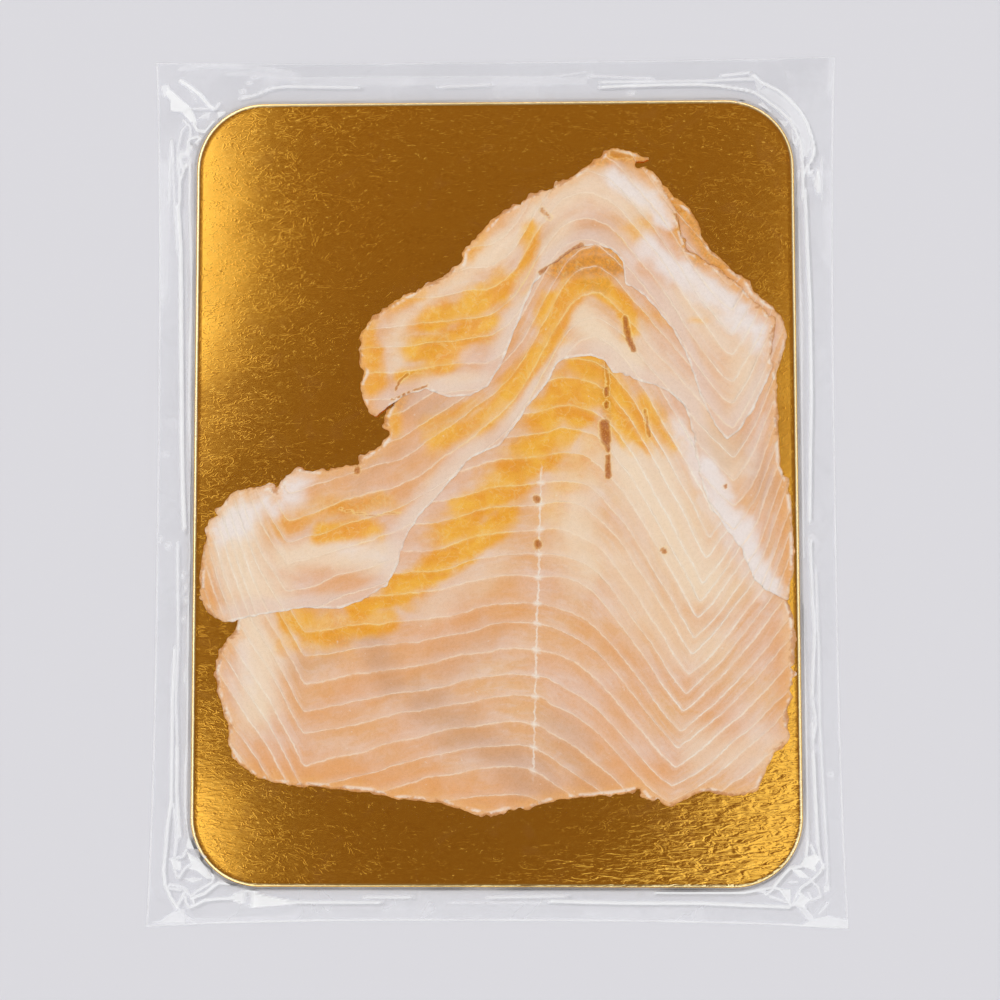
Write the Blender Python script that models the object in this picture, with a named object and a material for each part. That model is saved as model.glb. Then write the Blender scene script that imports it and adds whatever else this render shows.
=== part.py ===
import bpy
import bmesh
import random
from math import cos, sin, hypot, atan2, pi
from mathutils import Vector, noise

# ---- driving sizes, in millimetres ----
MM = 0.001

POUCH_WIDTH = 202.0
POUCH_LENGTH = 254.4
SIDE_BOW = 1.8            # how far the long sides are drawn in at the middle
TOP_BOW = 0.8
BOTTOM_BOW = 2.0
WEB = 0.3                 # lower web under the card
FLANGE = 0.45             # both webs where they lie on each other
SEAL_RISE = 0.35          # ridge of the heat seal
CRUMPLE = 1.5             # height of the creased corners

CARD_WIDTH = 176.4
CARD_LENGTH = 229.4
CARD_CORNER = 20.0
CARD_THICK = 1.0
GAP = 0.3                 # between pieces that touch
CONTENT_SHIFT = -0.75     # the card lies a little low in its pouch

CARD_BOTTOM = WEB + GAP
CARD_TOP = CARD_BOTTOM + CARD_THICK
FISH_FLOOR = CARD_TOP + GAP

RIM_THICK = 0.9           # a slice at its cut edge
FULL_THICK = 2.0          # and where it is thickest
FEATHER = 9.0             # distance over which it thickens
DRAPE = 5.0               # a slice comes down over this distance beside the one below
LAY_GAP = 0.35
FLAKE_PITCH = 6.9         # from one muscle flake to the next, along the middle line
FLAKE_CROWN = 0.25        # how far a flake bulges between its two seams
COLUMN_STEP = 0.14        # column width of a slice's grid, in parts of its half width

BOX_TOP = 14.0            # above everything

# ---- outlines of the slices as runs of points, clockwise seen from above, in millimetres ----
LOWER_RIM = [
    (84.5, -32.5), (86, -37), (86.5, -47), (85.5, -59.5), (84, -65.5), (84.5, -71), (81, -76),
    (77.5, -82), (75, -87), (68, -89), (62, -87.5), (57.5, -88), (50.5, -91.5), (43.5, -89.5),
    (41.5, -87), (36.5, -88), (27, -89), (18, -89.5), (10, -92.5), (3, -93), (-2, -94.5),
    (-9.5, -92.5), (-15.5, -90.5), (-28.5, -89.5), (-36, -87.5), (-48, -86.5), (-60.5, -85.5),
    (-68, -84), (-74, -79.5), (-77.5, -74), (-77, -68), (-80, -60), (-81.5, -53), (-79.5, -46.5),
    (-75.5, -41.5)]
LOWER_COVERED = [
    (-74.5, -34), (-67.5, -24), (-56.5, -16.5), (-43.5, -12), (-31, -5), (-18.5, 9.5), (-4, 22.5),
    (6, 34.5), (15, 43), (28, 48.5), (42.5, 43.5), (57, 35.5), (66, 27), (74, 16.5), (79, 3.5),
    (81, -9.5), (82.5, -24)]
MIDDLE_FRONT = [
    (84.5, -32.5), (78, -30), (74, -25.5), (71.5, -18.5), (65.5, -10.5), (61.5, -3.5), (59, 5),
    (57.5, 16), (55, 24), (50.5, 28), (42.5, 31), (34.5, 33.5), (32, 37), (28, 38.5), (21.5, 38),
    (18.5, 36.5), (15, 30), (10, 24), (5.5, 17.5), (1.5, 12.5), (-6.5, 9), (-12.5, 2.5),
    (-16.5, -2.5), (-21.5, -7.5), (-26, -15), (-28.5, -23), (-31, -28), (-38.5, -32.5),
    (-44.5, -34.5), (-55, -34.5), (-67.5, -36.5), (-77.5, -38.5)]
MIDDLE_LEFT = [
    (-79, -39), (-83.5, -35.5), (-86, -31.5), (-85.5, -21.5), (-84.5, -15.5), (-82, -6.5),
    (-77.5, -1.5), (-73, 0), (-65, 1), (-64, -0.5), (-61, 4), (-57.5, 6.5), (-50.5, 5.5),
    (-43.5, 7.5), (-40, 7), (-39.5, 9), (-33.5, 12.5), (-31, 15.5), (-32.5, 20), (-30.5, 24)]
MIDDLE_COVERED = [
    (-27, 30), (-20, 37), (-11.5, 45), (-2.5, 55), (6, 66), (18, 78), (32.5, 87.5), (43, 90)]
MIDDLE_RIGHT = [
    (49, 89.5), (53, 85.5), (57.5, 82), (60, 77.5), (61.5, 73), (64, 69.5), (69.5, 64), (73.5, 61.5),
    (76, 57), (82, 52.5), (84.5, 48.5), (85.5, 44), (84.5, 40), (82, 33), (82.5, 19), (83, 6.5),
    (85, 2.5), (86, -4.5), (86.5, -15.5), (86.5, -22.5)]
UPPER_FRONT = [
    (80.5, 34.5), (77.5, 27.5), (74.5, 22), (71, 16.5), (67, 13.5), (63.5, 18), (59.5, 27),
    (56.5, 37), (52, 46), (47, 52.5), (42.5, 57), (38, 59.5), (37.5, 66), (34.5, 69.5), (30, 71),
    (25, 70.5), (21, 68), (16, 64.5), (11.5, 59.5), (9.5, 55), (7, 48.5), (4, 41), (1.5, 35),
    (-2, 29.5), (-7, 27), (-13.5, 26.5), (-20, 29), (-26.5, 27), (-30.5, 24.5)]
UPPER_RIM = [
    (-34.5, 21), (-37, 22.5), (-39, 27.5), (-39.5, 31.5), (-38, 34), (-39.5, 37.5), (-39.5, 45),
    (-37.5, 48.5), (-34, 52), (-26.5, 56.5), (-16.5, 61.5), (-9.5, 66.5), (-9, 70), (-4.5, 75),
    (2.5, 81.5), (11, 86.5), (21, 91), (29, 96), (32.5, 99), (36.5, 100.5), (40, 99.5), (46, 97),
    (41.5, 95.5), (46.5, 93.5), (49, 89), (51, 86), (53, 82.5), (54.5, 75.5), (56.5, 69.5),
    (61.5, 66.5), (68, 62), (74, 57), (79, 51), (82, 49.5), (81, 40.5)]

# ---- course of the flake seams: (place across the slice, drop below the middle line), in millimetres ----
# place -1 and 1 are the folds of the zigzag left and right, 0 is the middle line, -2 and 2 the sides
LOWER_SEAM = [
    (-2, -43.5), (-1.7, -28), (-1.35, -12), (-1, 7), (-0.75, 5.5), (-0.45, 5.5), (-0.2, 1), (0, 0),
    (0.12, 0), (0.3, 3), (0.5, 12), (0.7, 22.5), (0.88, 31), (1, 35), (1.2, 30), (1.5, 19), (2, 2)]
MIDDLE_SEAM = [
    (-2, 0), (-1.6, 32), (-1.3, 55), (-1, 68), (-0.8, 62), (-0.6, 57), (-0.35, 41.5), (-0.2, 28.5),
    (-0.1, 6.5), (0, 0), (0.2, 6), (0.45, 19), (0.7, 30.5), (0.9, 40), (1, 43.5), (1.3, 35),
    (1.6, 19), (2, -3)]
UPPER_SEAM = [
    (-1.2, 33), (-0.8, 32), (-0.6, 30.5), (-0.36, 29), (-0.23, 17.5), (-0.15, 4.5), (0, 0),
    (0.2, 3.5), (0.38, 13), (0.57, 24.5), (0.76, 37.5), (0.94, 48), (1, 49.5), (1.2, 43),
    (1.5, 30), (2, 5)]

# x of the places -2, -1, 0, 1 and 2 on each slice, and the y where a seam crosses the middle line
LOWER_FRAME = (-88.0, -55.0, 12.5, 56.0, 90.0)
MIDDLE_FRAME = (-88.0, -60.0, 28.0, 69.0, 90.0)
UPPER_FRAME = (-105.0, -41.0, 26.0, 69.0, 90.0)
LOWER_START = 1.6
MIDDLE_START = 52.0
UPPER_START = 73.0


def smooth_step(value):
    value = max(0.0, min(1.0, value))
    return value * value * (3.0 - 2.0 * value)


def between(table, value):
    """Straight line reading of a table of (place, number) pairs."""
    for (a, low), (b, high) in zip(table, table[1:]):
        if value <= b:
            return low + (high - low) * (value - a) / (b - a)
    return table[-1][1]


def new_material(name, colour, roughness, metallic=0.0, alpha=1.0):
    material = bpy.data.materials.new(name)
    material.use_nodes = True
    shader = material.node_tree.nodes["Principled BSDF"]
    shader.inputs["Base Color"].default_value = (*colour, 1.0)
    shader.inputs["Roughness"].default_value = roughness
    shader.inputs["Metallic"].default_value = metallic
    shader.inputs["Alpha"].default_value = alpha
    return material


def new_object(name, mesh, collection, material=None):
    obj = bpy.data.objects.new(name, mesh)
    collection.objects.link(obj)
    if material:
        mesh.materials.append(material)
    return obj


def hide_cutter(obj):
    obj.hide_render = True
    obj.display_type = 'WIRE'


def bm_to_mesh(bm, name):
    bmesh.ops.recalc_face_normals(bm, faces=bm.faces)
    mesh = bpy.data.meshes.new(name)
    bm.to_mesh(mesh)
    bm.free()
    return mesh


def add_boolean(obj, cutter, operation):
    modifier = obj.modifiers.new(operation.title(), 'BOOLEAN')
    modifier.operation = operation
    modifier.solver = 'EXACT'
    modifier.object = cutter


# ---- gold card ----
def make_card(collection):
    bm = bmesh.new()
    bmesh.ops.create_cube(bm, size=1.0)
    bmesh.ops.scale(bm, vec=(CARD_WIDTH * MM, CARD_LENGTH * MM, CARD_THICK * MM), verts=bm.verts)
    upright = [e for e in bm.edges if abs(e.verts[0].co.z - e.verts[1].co.z) > 0.5 * CARD_THICK * MM]
    bmesh.ops.bevel(bm, geom=upright, offset=CARD_CORNER * MM, offset_type='OFFSET',
                    affect='EDGES', segments=12, profile=0.5)
    rim = [e for e in bm.edges if abs(e.verts[0].co.z - e.verts[1].co.z) < 1e-6]
    bmesh.ops.bevel(bm, geom=rim, offset=0.2 * CARD_THICK * MM, offset_type='OFFSET',
                    affect='EDGES', segments=1, profile=0.5)
    gold = new_material("gold_foil_card", (0.62, 0.36, 0.06), 0.32, metallic=1.0)
    card = new_object("gold_card", bm_to_mesh(bm, "gold_card"), collection, gold)
    card.location = (0.0, CONTENT_SHIFT * MM, (CARD_BOTTOM + 0.5 * CARD_THICK) * MM)


# ---- clear pouch: webs sealed round the card, open only where the thin top film lies on the fish ----
def pouch_stations():
    """Points on the card's outline, each with the direction that leads straight out to the pouch's edge."""
    straight_x = 0.5 * CARD_WIDTH - CARD_CORNER
    straight_y = 0.5 * CARD_LENGTH - CARD_CORNER
    long_steps, short_steps, arc_steps = 18, 14, 10
    half_width = 0.5 * POUCH_WIDTH
    stations = []
    for quarter in range(4):
        sign_x = (1, -1, -1, 1)[quarter]
        sign_y = (1, 1, -1, -1)[quarter]
        top = 0.5 * POUCH_LENGTH - sign_y * CONTENT_SHIFT
        corner_angle = atan2(top - straight_y, half_width - straight_x)
        angles = []
        for i in range(arc_steps + 1):
            part = i / arc_steps
            if part <= 0.5:
                angles.append(corner_angle * part * 2)
            else:
                angles.append(corner_angle + (0.5 * pi - corner_angle) * (part - 0.5) * 2)
        if sign_x * sign_y < 0:
            angles.reverse()
        for angle in angles:
            out = Vector((sign_x * cos(angle), sign_y * sin(angle)))
            centre = Vector((sign_x * straight_x, sign_y * straight_y + CONTENT_SHIFT))
            stations.append((centre + out * CARD_CORNER, out))
        # straight stretch to the next corner
        last, out = stations[-1]
        steps = short_steps if quarter % 2 == 0 else long_steps
        along = Vector((-out.y, out.x))
        length = 2 * (straight_x if quarter % 2 == 0 else straight_y)
        for i in range(1, steps):
            stations.append((last + along * length * i / steps, out))
    return stations


def reach_to_edge(point, out):
    """Distance from a point of the card's outline to the pouch's drawn-in edge."""
    half_width = 0.5 * POUCH_WIDTH
    half_length = 0.5 * POUCH_LENGTH
    reach = 1e9
    for _ in range(3):
        end = point if reach > 1e8 else point + out * reach
        side = half_width - SIDE_BOW * (1 - min(1.0, abs(end.y) / half_length) ** 3)
        bow = TOP_BOW if out.y > 0 else BOTTOM_BOW
        cap = half_length - bow * (1 - min(1.0, abs(end.x) / half_width) ** 3)
        options = []
        if abs(out.x) > 1e-6:
            options.append((side - abs(point.x)) / abs(out.x))
        if abs(out.y) > 1e-6:
            options.append((cap - abs(point.y)) / abs(out.y))
        reach = min(options)
    return reach


def corner_weight(point):
    """1 at the pouch's corners, 0 along its sides."""
    from_corner = hypot(0.5 * POUCH_WIDTH - abs(point.x), 0.5 * POUCH_LENGTH - abs(point.y))
    return smooth_step(1.0 - from_corner / 48.0)


def crease_height(point, rng):
    """Folds along the flange, and crushed facets at the corners."""
    fold = 0.25 * abs(noise.noise(Vector((point.x / 9.0, point.y / 26.0, 1.7))))
    crushed = corner_weight(point) * CRUMPLE * rng.random()
    return fold + crushed


def make_pouch(collection):
    stations = pouch_stations()
    rng = random.Random(21)
    # (part of the way out, fixed distance from the card, height, share of the creases)
    rings = [
        (1.0, 0.0, 0.0, 0.0), (1.0, 0.0, FLANGE, 0.0), (0.93, 0.0, FLANGE, 0.3),
        (0.87, 0.0, FLANGE + SEAL_RISE, 0.2), (0.8, 0.0, FLANGE, 0.5), (0.6, 0.0, FLANGE, 1.0),
        (0.4, 0.0, FLANGE, 1.0), (0.2, 0.0, FLANGE, 0.6), (0.0, 1.5, FLANGE, 0.0),
        (0.0, 1.15, CARD_TOP, 0.0), (0.0, 0.6, CARD_TOP + 0.25, 0.0), (0.0, 0.4, WEB, 0.0)]
    bm = bmesh.new()
    loops = []
    for part, fixed, height, crease in rings:
        ring = []
        for point, out in stations:
            place = point + out * (fixed + part * reach_to_edge(point, out))
            z = height
            if crease:
                z += crease * crease_height(place, rng)
            ring.append(bm.verts.new((place.x * MM, place.y * MM, z * MM)))
        loop = [bm.edges.new((ring[i - 1], ring[i])) for i in range(len(ring))]
        loops.append((ring, loop))
    for (_, inner), (_, outer) in zip(loops, loops[1:]):
        bmesh.ops.bridge_loops(bm, edges=inner + outer)
    bm.faces.new(loops[0][0])
    bm.faces.new(loops[-1][0])
    film = new_material("clear_film", (0.86, 0.88, 0.9), 0.12, alpha=0.35)
    new_object("pouch", bm_to_mesh(bm, "pouch"), collection, film)


# ---- slices ----
def ragged(points, amount, seed, step=4.0):
    """The same run with points about a step apart, torn in and out by a seeded noise."""
    result = []
    for (ax, ay), (bx, by) in zip(points, points[1:]):
        length = hypot(bx - ax, by - ay)
        count = max(1, round(length / step))
        normal = Vector((by - ay, ax - bx)) / length
        for i in range(count):
            x = ax + (bx - ax) * i / count
            y = ay + (by - ay) * i / count
            shift = amount * noise.noise(Vector((x * 0.9, y * 0.9, seed)))
            result.append((x + normal.x * shift, y + normal.y * shift))
    return result


def join_runs(runs, seed):
    """One closed outline from runs of points, each with its own raggedness."""
    outline = []
    for k, (points, amount) in enumerate(runs):
        following = runs[(k + 1) % len(runs)][0][0]
        outline += ragged(points + [following], amount, seed)
    return outline


def depth_inside(outline, x, y):
    """Distance to the outline, positive inside it and negative outside."""
    nearest = 1e9
    inside = False
    for (ax, ay), (bx, by) in zip(outline, outline[1:] + outline[:1]):
        dx, dy = bx - ax, by - ay
        along = max(0.0, min(1.0, ((x - ax) * dx + (y - ay) * dy) / (dx * dx + dy * dy)))
        nearest = min(nearest, hypot(x - ax - along * dx, y - ay - along * dy))
        if (ay > y) != (by > y) and x < ax + (y - ay) * dx / dy:
            inside = not inside
    return nearest if inside else -nearest


def slice_height(layers, index, x, y):
    """Height of the smooth top of a slice that lies on those before it in the list."""
    floor = FISH_FLOOR
    for layer in range(index + 1):
        depth = depth_inside(layers[layer]["outline"], x, y)
        top = floor + RIM_THICK + (FULL_THICK - RIM_THICK) * smooth_step(depth / FEATHER)
        if layer == index:
            return top
        cover = smooth_step((depth + DRAPE) / DRAPE)
        floor = floor + (top + LAY_GAP - floor) * cover


def seam_point(layer, place, seam):
    """Where flake seam number `seam` crosses the line at `place` across the slice."""
    x = between(list(zip((-2, -1, 0, 1, 2), layer["frame"])), place)
    y = layer["start"] - seam * FLAKE_PITCH - between(layer["seam"], place)
    return x, y


def make_blanket(layers, index, collection, lift=0.0):
    """Solid under the flaked top of a slice; its grid rows follow the flake seams and their crowns."""
    layer = layers[index]
    first, last = layer["rows"]
    rows = (last - first) * 2
    low, high = layer["places"]
    columns = round((high - low) / COLUMN_STEP)
    bm = bmesh.new()
    bmesh.ops.create_grid(bm, x_segments=columns, y_segments=rows, size=1.0)
    for vert in bm.verts:
        place = low + (high - low) * (vert.co.x + 1.0) / 2
        half_seams = round(rows * (1.0 - vert.co.y) / 2)
        x, y = seam_point(layer, place, first + half_seams / 2)
        crown = FLAKE_CROWN if half_seams % 2 else 0.0
        z = slice_height(layers, index, x, y) + crown + lift
        vert.co = (x * MM, (y + CONTENT_SHIFT) * MM, z * MM)
    made = bmesh.ops.extrude_face_region(bm, geom=bm.faces[:])
    for vert in [v for v in made["geom"] if isinstance(v, bmesh.types.BMVert)]:
        vert.co.z = 0.0
    name = layer["name"] + ("_blanket" if lift == 0.0 else "_lifted")
    blanket = new_object(name, bm_to_mesh(bm, name), collection)
    hide_cutter(blanket)
    return blanket


def make_prism(name, outline, bottom, top, collection, material=None):
    """Flat outline with a thickness, as a closed mesh."""
    curve = bpy.data.curves.new(name + "_outline", 'CURVE')
    curve.dimensions = '2D'
    curve.fill_mode = 'BOTH'
    curve.extrude = 0.5 * (top - bottom) * MM
    spline = curve.splines.new('POLY')
    spline.points.add(len(outline) - 1)
    for point, (x, y) in zip(spline.points, outline):
        point.co = (x * MM, (y + CONTENT_SHIFT) * MM, 0.0, 1.0)
    spline.use_cyclic_u = True
    drawn = bpy.data.objects.new(name + "_outline", curve)
    collection.objects.link(drawn)
    graph = bpy.context.evaluated_depsgraph_get()
    flat = bpy.data.meshes.new_from_object(drawn.evaluated_get(graph))
    bm = bmesh.new()
    bm.from_mesh(flat)
    bmesh.ops.remove_doubles(bm, verts=bm.verts, dist=1e-6)
    bmesh.ops.translate(bm, vec=(0, 0, 0.5 * (top + bottom) * MM), verts=bm.verts)
    bpy.data.objects.remove(drawn)
    return new_object(name, bm_to_mesh(bm, name), collection, material)


def widened(outline, amount):
    """The outline moved outward by an amount; it runs clockwise, so outward is to its left."""
    result = []
    for i in range(len(outline)):
        ax, ay = outline[i - 1]
        bx, by = outline[(i + 1) % len(outline)]
        length = hypot(bx - ax, by - ay)
        x, y = outline[i]
        result.append((x - (by - ay) / length * amount, y + (bx - ax) / length * amount))
    return result


def make_slices(collection, cutters):
    lower_runs = [(LOWER_RIM, 0.8), (LOWER_COVERED, 0.0)]
    middle_runs = [(MIDDLE_FRONT, 0.5), (MIDDLE_LEFT, 0.8), (MIDDLE_COVERED, 0.0), (MIDDLE_RIGHT, 0.5)]
    upper_runs = [(UPPER_FRONT, 0.4), (UPPER_RIM, 0.7)]
    layers = [
        dict(name="slice_lower", runs=lower_runs, seam=LOWER_SEAM, frame=LOWER_FRAME,
             start=LOWER_START, rows=(-14, 16), places=(-2.1, 2.1), colour=(0.80, 0.50, 0.30)),
        dict(name="slice_middle", runs=middle_runs, seam=MIDDLE_SEAM, frame=MIDDLE_FRAME,
             start=MIDDLE_START, rows=(-14, 15), places=(-2.1, 2.1), colour=(0.82, 0.58, 0.36)),
        dict(name="slice_upper", runs=upper_runs, seam=UPPER_SEAM, frame=UPPER_FRAME,
             start=UPPER_START, rows=(-11, 9), places=(-1.05, 1.9), colour=(0.84, 0.56, 0.26))]
    for seed, layer in enumerate(layers):
        layer["outline"] = join_runs(layer["runs"], 5.0 + seed)
    for index, layer in enumerate(layers):
        flesh = new_material(layer["name"] + "_flesh", layer["colour"], 0.4)
        piece = make_prism(layer["name"], layer["outline"], FISH_FLOOR, BOX_TOP, collection, flesh)
        add_boolean(piece, make_blanket(layers, index, cutters), 'INTERSECT')
        if index:
            below = layers[index - 1]
            room = make_prism(below["name"] + "_room", widened(below["outline"], 0.5), 0.0, BOX_TOP, cutters)
            hide_cutter(room)
            add_boolean(room, make_blanket(layers, index - 1, cutters, LAY_GAP), 'INTERSECT')
            add_boolean(piece, room, 'DIFFERENCE')


def main():
    for obj in list(bpy.data.objects):
        bpy.data.objects.remove(obj, do_unlink=True)
    scene = bpy.context.scene.collection
    parts = bpy.data.collections.new("pack_of_smoked_trout")
    cutters = bpy.data.collections.new("cutters")
    scene.children.link(parts)
    scene.children.link(cutters)
    make_pouch(parts)
    make_card(parts)
    make_slices(parts, cutters)


main()
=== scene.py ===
import bpy
import bmesh
import math
import numpy as np
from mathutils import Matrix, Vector, noise


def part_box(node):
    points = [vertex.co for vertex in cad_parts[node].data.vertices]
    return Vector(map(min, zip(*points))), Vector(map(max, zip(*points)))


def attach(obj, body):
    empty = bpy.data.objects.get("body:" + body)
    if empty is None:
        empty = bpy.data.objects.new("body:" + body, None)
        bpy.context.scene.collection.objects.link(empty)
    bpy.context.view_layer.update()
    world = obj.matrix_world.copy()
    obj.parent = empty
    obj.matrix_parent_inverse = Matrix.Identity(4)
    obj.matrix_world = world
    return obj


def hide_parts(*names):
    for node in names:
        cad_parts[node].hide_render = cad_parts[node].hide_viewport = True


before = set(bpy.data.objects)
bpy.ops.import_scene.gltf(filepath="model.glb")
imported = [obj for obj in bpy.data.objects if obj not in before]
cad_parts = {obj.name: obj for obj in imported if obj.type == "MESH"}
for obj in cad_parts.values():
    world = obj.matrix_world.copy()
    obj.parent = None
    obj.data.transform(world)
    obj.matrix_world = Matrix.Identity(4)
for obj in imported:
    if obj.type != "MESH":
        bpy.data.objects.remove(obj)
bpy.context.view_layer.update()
mm = 0.001

# the card's top is lowered to leave room for the rolled rim of its foil
card = {"corner": 20.0, "edgeRound": 0.25, "gap": 0.3, "lowered": 0.06}
cardLow, cardHigh = [Vector(corner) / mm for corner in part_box("gold_card")]
pouchLow, pouchHigh = [Vector(corner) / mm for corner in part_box("pouch")]
contentShift = 0.5 * (cardLow.y + cardHigh.y)      # the card lies a little low in its pouch
fishFloor = cardHigh.z + card["gap"]

# how thick the slices are and how they lie on each other, in millimetres
lay = {"rim": 0.9, "front": 0.14, "full": 2.0, "feather": 9.0, "drape": 5.0, "gap": 0.02, "crown": 0.3,
       "swell": 0.12, "step": 0.7, "round": 0.7,
       "thin": (0.5, 6.0)}      # how far from the edges on the card the rim gets thin

lightGain = 0.92           # how bright a white surface shows in this light
glossVeil = 0.022          # what the gloss adds to it


# small helpers

def smoothStep(value, low=0.0, high=1.0):
    t = np.clip((value - low) / (high - low), 0.0, 1.0)
    return t * t * (3.0 - 2.0 * t)


def tone(red, green, blue):
    # screen colour 0-255 to the base colour that shows it under this light
    screen = np.array((red, green, blue)) / 255.0
    linear = np.where(screen <= 0.04045, screen / 12.92, ((screen + 0.055) / 1.055) ** 2.4)
    return tuple(np.clip((linear - glossVeil) / lightGain, 0.004, 1.0)) + (1.0,)


def bell(value, middle, width):
    return np.exp(-((value - middle) / width) ** 2)


def lump(x, y, size, seed):
    # smooth seeded noise, about -1 to 1, with lumps of the given size in millimetres
    return noise.noise(Vector((x / size, y / size, seed)))


def noiseAt(x, y, size, seed):
    return np.array([lump(a, b, size, seed) for a, b in zip(x, y)])


def farFrom(line, x, y):
    # distance to an open line of points
    far = np.full(len(x), 1e9)
    for (ax, ay), (bx, by) in zip(line, line[1:]):
        dx, dy = bx - ax, by - ay
        along = np.clip(((x - ax) * dx + (y - ay) * dy) / (dx * dx + dy * dy + 1e-9), 0.0, 1.0)
        far = np.minimum(far, np.hypot(x - ax - along * dx, y - ay - along * dy))
    return far


def finish(bm, name, material, body="root"):
    mesh = bpy.data.meshes.new(name)
    bm.to_mesh(mesh)
    bm.free()
    for face in mesh.polygons:
        face.use_smooth = True
    piece = bpy.data.objects.new(name, mesh)
    bpy.context.scene.collection.objects.link(piece)
    mesh.materials.append(material)
    if body:
        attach(piece, body)
    return piece


def store(piece, name, values):
    attribute = piece.data.attributes.new(name, "FLOAT", "POINT")
    attribute.data.foreach_set("value", np.asarray(values, dtype=np.float32))


# shader helpers

class Wire:
    # a socket that can be used in sums
    def __init__(self, look, socket):
        self.look = look
        self.socket = socket

    def math(self, operation, other=0.0, turned=False):
        first, second = (other, self) if turned else (self, other)
        return self.look.add("ShaderNodeMath", {"operation": operation}, {0: first, 1: second})

    def __add__(self, other):
        return self.math("ADD", other)

    def __sub__(self, other):
        return self.math("SUBTRACT", other)

    def __rsub__(self, other):
        return self.math("SUBTRACT", other, True)

    def __mul__(self, other):
        return self.math("MULTIPLY", other)

    def __truediv__(self, other):
        return self.math("DIVIDE", other)

    def __abs__(self):
        return self.math("ABSOLUTE")


class Look:
    # one material, or the world, and the nodes that are added to it
    def __init__(self, home):
        self.home = bpy.data.materials.new(home) if isinstance(home, str) else home
        self.home.use_nodes = True
        self.tree = self.home.node_tree
        self.tree.nodes.clear()

    def add(self, kind, settings=None, values=None, out=0):
        node = self.tree.nodes.new(kind)
        for key, value in (settings or {}).items():
            setattr(node, key, value)
        for key, value in (values or {}).items():
            if isinstance(value, Wire):
                self.tree.links.new(value.socket, node.inputs[key])
            else:
                node.inputs[key].default_value = value
        return Wire(self, node.outputs[out]) if len(node.outputs) else None

    def place(self, scale=(1.0, 1.0, 1.0), turn=0.0):
        # object coordinates in millimetres, stretched and turned
        coordinates = self.add("ShaderNodeTexCoord", out="Object")
        return self.add("ShaderNodeMapping", None,
                        {0: coordinates, 2: (0.0, 0.0, turn), 3: tuple(s / mm for s in scale)})

    def split(self, place):
        parted = self.add("ShaderNodeSeparateXYZ", None, {0: place}).socket.node
        return [Wire(self, socket) for socket in parted.outputs]

    def join(self, *values):
        return self.add("ShaderNodeCombineXYZ", None, dict(enumerate(values)))

    def noise(self, place, detail=3.0, rough=0.55, twist=0.0, turn=0.0):
        # the place is a socket, or how fine the noise is along each axis
        if not isinstance(place, Wire):
            place = self.place(place, turn)
        values = {"Vector": place, "Scale": 1.0, "Detail": detail, "Roughness": rough, "Distortion": twist}
        return self.add("ShaderNodeTexNoise", None, values, "Fac")

    def step(self, value, low, high):
        settings = {"interpolation_type": "SMOOTHSTEP"}
        return self.add("ShaderNodeMapRange", settings, {0: value, 1: low, 2: high})

    def fade(self, value, low, high):
        return 1.0 - self.step(value, low, high)

    def band(self, value, low, lowEnd, high, highEnd):
        # 1 between two soft limits
        return self.step(value, low, lowEnd) * self.fade(value, high, highEnd)

    def blend(self, part, first, second):
        return self.add("ShaderNodeMix", {"data_type": "RGBA"}, {0: part, 6: first, 7: second}, 2)

    def cover(self, colour, tints, *layers):
        # tints laid over a colour one after the other: how much of each and its name
        for part, name in layers:
            colour = self.blend(part, colour, tints[name])
        return colour

    def layer(self, name):
        return self.add("ShaderNodeAttribute", {"attribute_name": name}, None, "Fac")

    def bump(self, height, strength, depth, under=None):
        values = {"Strength": strength, "Distance": depth * mm, "Height": height}
        if under:
            values["Normal"] = under
        return self.add("ShaderNodeBump", None, values)

    def close(self, values):
        # the finished material, with a surface of these values
        shader = self.add("ShaderNodeBsdfPrincipled", None, values)
        self.add("ShaderNodeOutputMaterial", None, {"Surface": shader})
        return self.home


# gold foil card

foil = {
    # fold is a darker gold: painted shade along the crinkle lines, and darker patches at random
    "gold": (0.96, 0.53, 0.075, 1), "worn": (0.97, 0.58, 0.11, 1), "fold": (0.8, 0.38, 0.04, 1),
    # edge is the colour of the painted highlight along the rolled rim
    "edge": (1.0, 0.82, 0.42, 1),
    "rough": 0.11, "hair": 0.005, "grain": 0.0022, "crinkle": 0.2, "waves": 0.12,
    # rolled edge of the foil: how far in and how far up each ring goes, and where the painted highlight
    # along its rim runs
    "rim": ((0.12, 0.03), (0.55, 0.0), (0.2, -0.03), (0.15, -0.01), (0.9, 0.0)),
    "paintedRimHighlight": (-1.1, -0.95, -0.35, -0.26)}


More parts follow.
